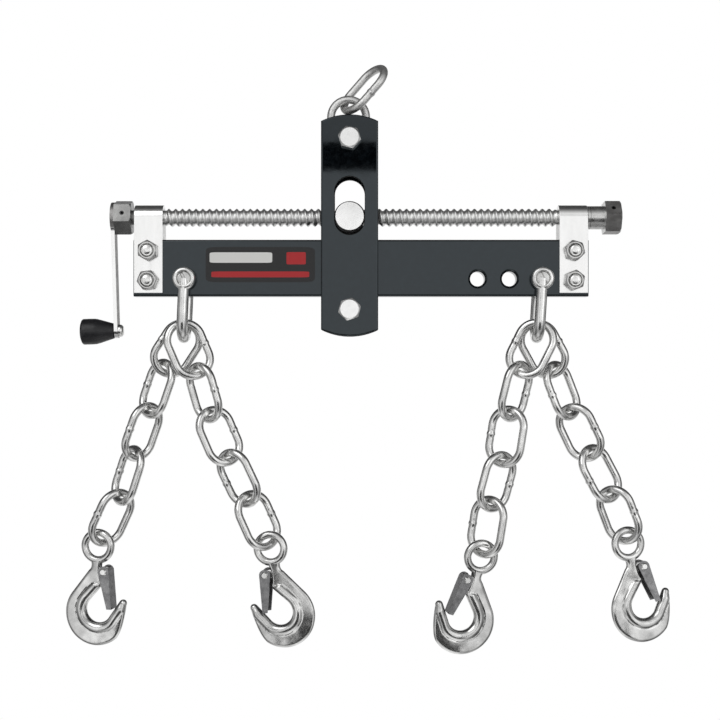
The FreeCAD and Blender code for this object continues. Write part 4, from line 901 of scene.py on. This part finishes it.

# %% [markdown]
# ## Solids that stay
# The plates, beam, straps, hexagons, washers, sleeves, pins and arm already have their real shape. They
# get their finish and, where the real edge is just broken, a narrow bevel. A piece that is painted or
# rubbed in two ways, or that has painted shade or highlight on some faces, gets its second finish face by
# face, since its points can't be changed.

# %% finishes on the other solids
DRIVE_HEX_LENGTH, WELDED_REACH = 14.0, 9.0
SQUARE_ON, HALF_ON, EDGE_ON = 0.9, 0.5, 0.2
HEX_START = box_mm("drive_hex")[1][0] - DRIVE_HEX_LENGTH
PLATES = ("front_plate", "back_plate")
KEPT_SOLIDS = (
    ("beam", BLACK_PAINT, 0.9), ("front_plate", BLACK_PAINT, 1.1), ("back_plate", BLACK_PAINT, 1.1),
    ("left_strap", STRIP_ZINC, 0.45), ("right_strap", STRIP_ZINC, 0.45),
    ("bearing_blocks", TURNED_ZINC, 0.3), ("thrust_washer", TURNED_ZINC, 0.25),
    ("crank_hub", HUB_STEEL, 0.35), ("drive_hex", TURNED_ZINC, 0.6), ("roll_pins", PAINTED_SHADE_BLACK_STEEL, 0.0),
    ("crank_arm", STRIP_ZINC, 0.4), ("grip_rivet", BOLT_ZINC, 0.0), ("trunnion_nut", PAINTED_SHADE_BLACK_STEEL, 0.0),
    ("carriage_washers", BOLT_ZINC, 0.3), ("spacer_sleeves", TURNED_ZINC, 0.3))


def cut_edges(middles, normals):
    """Faces round a plate's outline and holes: they don't face the front or the back."""
    return np.abs(normals[:, 1]) < HALF_ON


def nut_ends(middles, normals):
    """The cross nut's two flat ends."""
    return np.abs(normals[:, 1]) > SQUARE_ON


def hexagon_flats(middles, normals):
    """The drive hexagon's six flats, without its collar and its end."""
    return (middles[:, 0] > HEX_START) & (np.abs(normals[:, 0]) < EDGE_ON)


def arm_shade_faces(middles, normals):
    """The crank arm's faces for the dark steel: its wide faces, as painted shade, and all of it near the
    weld.
    """
    return (middles[:, 2] > SCREW_AXIS[2] - WELDED_REACH) | (np.abs(normals[:, 0]) > SQUARE_ON)


for node, finish, edge in KEPT_SOLIDS:
    keep_solid(node, finish, edge)
for plate in PLATES:
    second_finish(plate, RUBBED_BLACK, cut_edges)
    NODES[plate].modifiers["edges"].material = 1
# The cross nut's barrel keeps the near-black finish as painted shade and painted reflection of the black
# plates round it; only its two ends are bright zinc.
second_finish("trunnion_nut", FACED_ZINC, nut_ends)
# The drive hexagon's flats get dark steel, its own colour. Its chamfers, collar, end and bevelled edges stay
# bright zinc, and on the chamfers and bevelled edges that bright zinc is painted highlight.
second_finish("drive_hex", HEX_AND_ARM_SHADE_STEEL, hexagon_flats)
NODES["drive_hex"].modifiers["edges"].material = 0
# The arm's wide faces are dark as painted shade along the sides of the bright strip.
second_finish("crank_arm", HEX_AND_ARM_SHADE_STEEL, arm_shade_faces)

# %% [markdown]
# ## Shade rings at the cross nut
# The gap below the cross nut, between the plates, is dark. Here a thin near-black ring sits on the nut
# inside each plate. It stands for a wider body there, and its near-black is painted shade. It is a flat
# washer, so its section is a rectangle turned about the nut's axis.

# %% shade rings at the cross nut
NUT_RING_BORE, NUT_RING_RADIUS, NUT_RING_START, NUT_RING_END = 12.8, (13.7, 14.8), 8.15, 8.9


def nut_shade_rings():
    """Two near-black washers as painted shade: the rectangle bore, radius, start and end turned about the
    cross nut's axis.
    """
    middle = joint_mm("beam_tilt")[0]
    sheets = []
    for outward, radius in zip((-1, 1), NUT_RING_RADIUS):
        stations = outward * np.array([NUT_RING_START, NUT_RING_START, NUT_RING_END, NUT_RING_END, NUT_RING_START])
        radii = [NUT_RING_BORE, radius, radius, NUT_RING_BORE, NUT_RING_BORE]
        sheets.append(placed(turned(stations, radii, 96), middle, X, -Z, Y))
    piece = make_piece("nut_shade_rings", sheets, sharp=30)
    piece.data.materials.append(PAINTED_SHADE_BLACK_STEEL)
    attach(piece, "trunnion")
    print("keeper rings at X", round(middle[0], 1))


nut_shade_rings()

# %% [markdown]
# ## Sticker
# The beam has a sticker that is printed in plain panels. It could be a picture on the paint, but thin
# patches keep sharp edges at any distance. Each has a rounded oblong outline.

# %% sticker
STICKER_X, STICKER_DROP, STICKER_SUNK, STICKER_POWER = -88.5, 42.0, 0.05, 14
PATCHES = (("panel", 0.0, 0.0, 48.0, 15.5, 0.10, (0.010, 0.010, 0.011)),
           ("blank", -17.0, 6.2, 27.5, 4.6, 0.16, (0.72, 0.72, 0.70)),
           ("stripe", 0.0, -8.6, 43.0, 2.6, 0.16, (0.42, 0.012, 0.016)),
           ("square", 31.5, 5.6, 8.5, 5.4, 0.16, (0.42, 0.012, 0.016)))


def sticker():
    """Thin printed patches on the beam's front, with outlines |x / a|^14 + |z / b|^14 = 1."""
    t = round_angles(96)
    c, d = np.cos(t), np.sin(t)
    out = (np.abs(c) ** STICKER_POWER + np.abs(d) ** STICKER_POWER) ** (-1 / STICKER_POWER)
    middle = (BEAM_MIDDLE_X + STICKER_X, BEAM_LOW[1], SCREW_AXIS[2] - STICKER_DROP)
    for name, x, z, half_x, half_z, rise, color in PATCHES:
        rows = [(0.0, STICKER_SUNK), (1.0, STICKER_SUNK), (1.0, -rise), (0.0, -rise)]
        across, along = half_x * out * c, half_z * out * d
        sheet = np.stack([np.stack([x + k * across, np.full_like(t, y), z + k * along], -1) for k, y in rows])
        piece = make_piece(f"sticker_{name}", [sheet + middle])
        piece.data.materials.append(new_finish(f"sticker_{name}", color, 0.0, 0.25, IOR=1.45)[0])
        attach(piece, "beam")
    print("sticker patches:", len(PATCHES))


sticker()

# %% [markdown]
# ## Weld tacks
# A few beads of weld hold the arm on the hub. Each is a small ball whose radius has waves in both
# angles, sunk into the corner between the two, so that no two look alike.

# %% weld tacks
TACKS = ((-218.6, -6.9, -3.0, 1.7), (-218.4, -7.2, -5.6, 2.0), (-218.5, -6.9, -8.3, 1.6),
         (-218.6, 6.9, -4.0, 1.8), (-218.5, 7.0, -7.0, 1.9))
TACK_SQUASH = (0.8, 0.8, 1.1)


def weld_tacks():
    """Small beads: r = R (1 + 0.14 sin(3a + i) sin 2b + 0.10 cos(5a + b) sin b), squashed a little."""
    b, a = np.linspace(0, np.pi, 14)[:, None], round_angles(24)
    sheets = []
    for i, (x, y, z, size) in enumerate(TACKS):
        r = size * (1 + 0.14 * np.sin(3 * a + i) * np.sin(2 * b) + 0.10 * np.cos(5 * a + b) * np.sin(b))
        lump = np.stack([r * np.sin(b) * np.cos(a), r * np.sin(b) * np.sin(a), r * np.cos(b)], -1)
        sheets.append(lump * TACK_SQUASH + (BEAM_MIDDLE_X + x, y, SCREW_AXIS[2] + z))
    piece = make_piece("weld_tacks", sheets, sharp=80)
    piece.data.materials.append(FORGED_ZINC)
    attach(piece, "screw")
    print("weld tacks:", len(sheets))


weld_tacks()

# %% [markdown]
# ## Light
# Bright metal shows its surroundings, so the surroundings are most of the light. Big lamps could make
# them, but each edge would need a lamp of its own. Here the world is a photographer's tent, drawn by
# its direction: a bright front and back, dim between them, with a panel at each side and a low one at
# the rear. In front, a dark slit gives the painted plate its black band, two seams draw dark lines
# along the wire, and a dark table edge shades the hooks. Only shiny surfaces see the tent. The camera
# sees plain white, and an even white and two soft lamps light the rest.

# %% helpers for light
def math_node(tree, operation, *inputs):
    """One math node: numbers stay on its sockets, and sockets of other nodes are linked to it."""
    node = tree.nodes.new("ShaderNodeMath")
    node.operation = operation
    for socket, given in zip(node.inputs, inputs):
        if isinstance(given, (int, float)):
            socket.default_value = given
        else:
            tree.links.new(given, socket)
    return node.outputs[0]


def times(tree, first, second):
    """The product of two values."""
    return math_node(tree, "MULTIPLY", first, second)


def larger(tree, first, second):
    """The larger of two values."""
    return math_node(tree, "MAXIMUM", first, second)


def over(tree, given, limit):
    """1 where a value is over a limit, else 0."""
    return math_node(tree, "GREATER_THAN", given, limit)


def under(tree, given, limit):
    """1 where a value is under a limit, else 0."""
    return math_node(tree, "LESS_THAN", given, limit)


def mix_shaders(tree, factor, first, second):
    """Two shaders mixed by a factor."""
    mix = tree.nodes.new("ShaderNodeMixShader")
    for socket, given in zip(mix.inputs, (factor, first, second)):
        tree.links.new(given, socket)
    return mix.outputs[0]


def white_light(tree, strength):
    """A white background of a strength, which is a number or a socket."""
    light = tree.nodes.new("ShaderNodeBackground")
    light.inputs["Color"].default_value = (1, 1, 1, 1)
    if isinstance(strength, (int, float)):
        light.inputs["Strength"].default_value = strength
    else:
        tree.links.new(strength, light.inputs["Strength"])
    return light.outputs[0]


print("worlds before the tent:", len(bpy.data.worlds))

# %% surroundings
FRONT_LIMIT, UPPER_DIM, EVEN_LIGHT = -0.6, 0.28, 0.55
SLIT_LOW, SLIT_HIGH, SLIT_HALF = 0.1440, 0.1655, 0.055
SEAM_IN, SEAM_OUT = 0.36, 0.43
TABLE_EDGE, TABLE_HALF, TABLE_SHADE = (-0.195, -0.155), 0.42, 0.95
TENT = ((0.0, 0.9), (0.05, 0.9), (0.10, 0.07), (0.45, 0.07), (0.58, 0.14), (0.70, 0.32), (0.80, 0.62),
        (0.90, 1.0))
SIDE_EDGE, SIDE_LEVEL = (0.91, 0.97), 0.40
REAR_EDGE, REAR_TOP, REAR_LEVEL = (0.20, 0.40), (-0.20, -0.08), 0.65


def tent_level(tree):
    """The tent's brightness in a direction (x, y, z) of length one: the largest of a ramp over (1 - y) / 2,
    the side panels and the rear panel, times 1 less the shade of slit, seams, table edge and top."""
    split = tree.nodes.new("ShaderNodeSeparateXYZ")
    tree.links.new(tree.nodes.new("ShaderNodeTexCoord").outputs["Generated"], split.inputs[0])
    x, y, z = split.outputs
    ramp = tree.nodes.new("ShaderNodeValToRGB")
    while len(ramp.color_ramp.elements) < len(TENT):
        ramp.color_ramp.elements.new(0.5)
    for element, (place, level) in zip(ramp.color_ramp.elements, TENT):
        element.position = place
        element.color = (level, level, level, 1)
    tree.links.new(math_node(tree, "MULTIPLY_ADD", y, -0.5, 0.5), ramp.inputs[0])
    aside = math_node(tree, "ABSOLUTE", x)
    side = spread(tree, aside, 0.0, SIDE_LEVEL, *SIDE_EDGE)
    rear = times(tree, spread(tree, y, 0.0, 1.0, *REAR_EDGE), spread(tree, z, REAR_LEVEL, 0.0, *REAR_TOP))
    level = larger(tree, ramp.outputs["Color"], larger(tree, side, rear))

    front = under(tree, y, FRONT_LIMIT)
    slit = times(tree, over(tree, z, SLIT_LOW), under(tree, z, SLIT_HIGH))
    slit = times(tree, slit, under(tree, aside, SLIT_HALF))
    seams = times(tree, over(tree, aside, SEAM_IN), under(tree, aside, SEAM_OUT))
    gaps = times(tree, larger(tree, slit, seams), front)
    table = times(tree, front, under(tree, aside, TABLE_HALF))
    table = times(tree, table, spread(tree, z, TABLE_SHADE, 0.0, *TABLE_EDGE))
    top = times(tree, over(tree, z, SLIT_HIGH), UPPER_DIM)
    shade = larger(tree, larger(tree, gaps, top), table)
    return times(tree, level, math_node(tree, "SUBTRACT", 1.0, shade))


def tent_world():
    """Shiny surfaces see the tent, the camera sees plain white, and all else is lit by an even white."""
    world = bpy.data.worlds.new("tent")
    bpy.context.scene.world = world
    world.use_nodes = True
    tree = world.node_tree
    tree.nodes.clear()
    rays = tree.nodes.new("ShaderNodeLightPath").outputs
    shiny = larger(tree, rays["Is Glossy Ray"], rays["Is Transmission Ray"])
    light = mix_shaders(tree, shiny, white_light(tree, EVEN_LIGHT), white_light(tree, tent_level(tree)))
    seen = mix_shaders(tree, rays["Is Camera Ray"], light, white_light(tree, 1.0))
    tree.links.new(seen, tree.nodes.new("ShaderNodeOutputWorld").inputs["Surface"])
    print("nodes in the tent's world:", len(tree.nodes))


tent_world()
bpy.context.scene.view_settings.view_transform = "Standard"

# %% lamps
AIM_X, AIM_DROP = -0.0009, 0.1258
MIDDLE = np.array([BEAM_MIDDLE_X * MM + AIM_X, 0.0, SCREW_AXIS[2] * MM - AIM_DROP])
LAMP_SIZE = 1.5
LAMPS = (("key", (-1.0, -1.4, 1.3), 9), ("fill", (1.3, -1.3, 0.6), 4))


def soft_lamp(name, offset, power):
    """A square lamp at an offset from the middle of the picture, pointed at it."""
    data = bpy.data.lights.new(name, "AREA")
    data.size = LAMP_SIZE
    data.energy = power
    lamp = bpy.data.objects.new(name, data)
    bpy.context.collection.objects.link(lamp)
    lamp.location = MIDDLE + offset
    lamp.rotation_euler = (-Vector(offset)).to_track_quat("-Z", "Y").to_euler()


for name, offset, power in LAMPS:
    soft_lamp(name, offset, power)
print("lamps:", [name for name, _, _ in LAMPS])

# %% [markdown]
# ## Floor and camera
# The tool hangs in the air over a white floor, which keeps a soft shadow. A floor without an end would
# light the hooks from below and hide the dark part of the tent, so it is a disc that fades to clear
# towards its rim. The camera looks straight along the beam's thickness.

# %% floor
FLOOR_DROP, FLOOR_REACH, FLOOR_FADE = 0.62, (0.0, 150, 300, 450), (0.10, 0.42)
FLOOR_GLOW, FLOOR_GREY, FLOOR_SHARE = 1.05, 0.9, 0.85
FLOOR_MIDDLE = MIDDLE - Z * FLOOR_DROP


def floor_white():
    """Matt white with a share of plain white laid over it for the camera and for shiny surfaces. It
    goes to clear as the distance from the floor's middle goes over the fade."""
    material = bpy.data.materials.new("floor_white")
    material.use_nodes = True
    tree = material.node_tree
    tree.nodes.clear()
    glow = tree.nodes.new("ShaderNodeEmission")
    glow.inputs["Strength"].default_value = FLOOR_GLOW
    matt = tree.nodes.new("ShaderNodeBsdfDiffuse")
    matt.inputs["Color"].default_value = (FLOOR_GREY, FLOOR_GREY, FLOOR_GREY, 1)
    rays = tree.nodes.new("ShaderNodeLightPath").outputs
    seen = larger(tree, rays["Is Camera Ray"], rays["Is Glossy Ray"])
    seen = larger(tree, seen, rays["Is Transmission Ray"])
    white = mix_shaders(tree, times(tree, seen, FLOOR_SHARE), matt.outputs[0], glow.outputs[0])
    away = tree.nodes.new("ShaderNodeVectorMath")
    away.operation = "DISTANCE"
    away.inputs[1].default_value = FLOOR_MIDDLE
    tree.links.new(tree.nodes.new("ShaderNodeTexCoord").outputs["Object"], away.inputs[0])
    fade = spread(tree, away.outputs["Value"], 0.0, 1.0, *FLOOR_FADE)
    faded = mix_shaders(tree, fade, white, tree.nodes.new("ShaderNodeBsdfTransparent").outputs[0])
    tree.links.new(faded, tree.nodes.new("ShaderNodeOutputMaterial").inputs["Surface"])
    return material


def floor():
    """A disc below the hooks: rings of points (r cos a, r sin a, 0)."""
    sheet = turned(np.zeros(len(FLOOR_REACH)), FLOOR_REACH, 96)
    piece = make_piece("floor", [sheet + FLOOR_MIDDLE / MM])
    piece.data.materials.append(floor_white())
    print("floor at height", round(FLOOR_MIDDLE[2], 3), "m")


floor()

# %% camera
CAMERA_DISTANCE, FRAME_WIDTH, SENSOR = 1.15, 0.637, 36.0
camera_data = bpy.data.cameras.new("camera")
camera_data.sensor_width = SENSOR
camera_data.lens = SENSOR * CAMERA_DISTANCE / FRAME_WIDTH
camera = bpy.data.objects.new("camera", camera_data)
bpy.context.collection.objects.link(camera)
camera.location = MIDDLE - Y * CAMERA_DISTANCE
camera.rotation_euler = (math.pi / 2, 0, 0)
bpy.context.scene.camera = camera
print("camera lens:", round(camera_data.lens, 1), "mm")
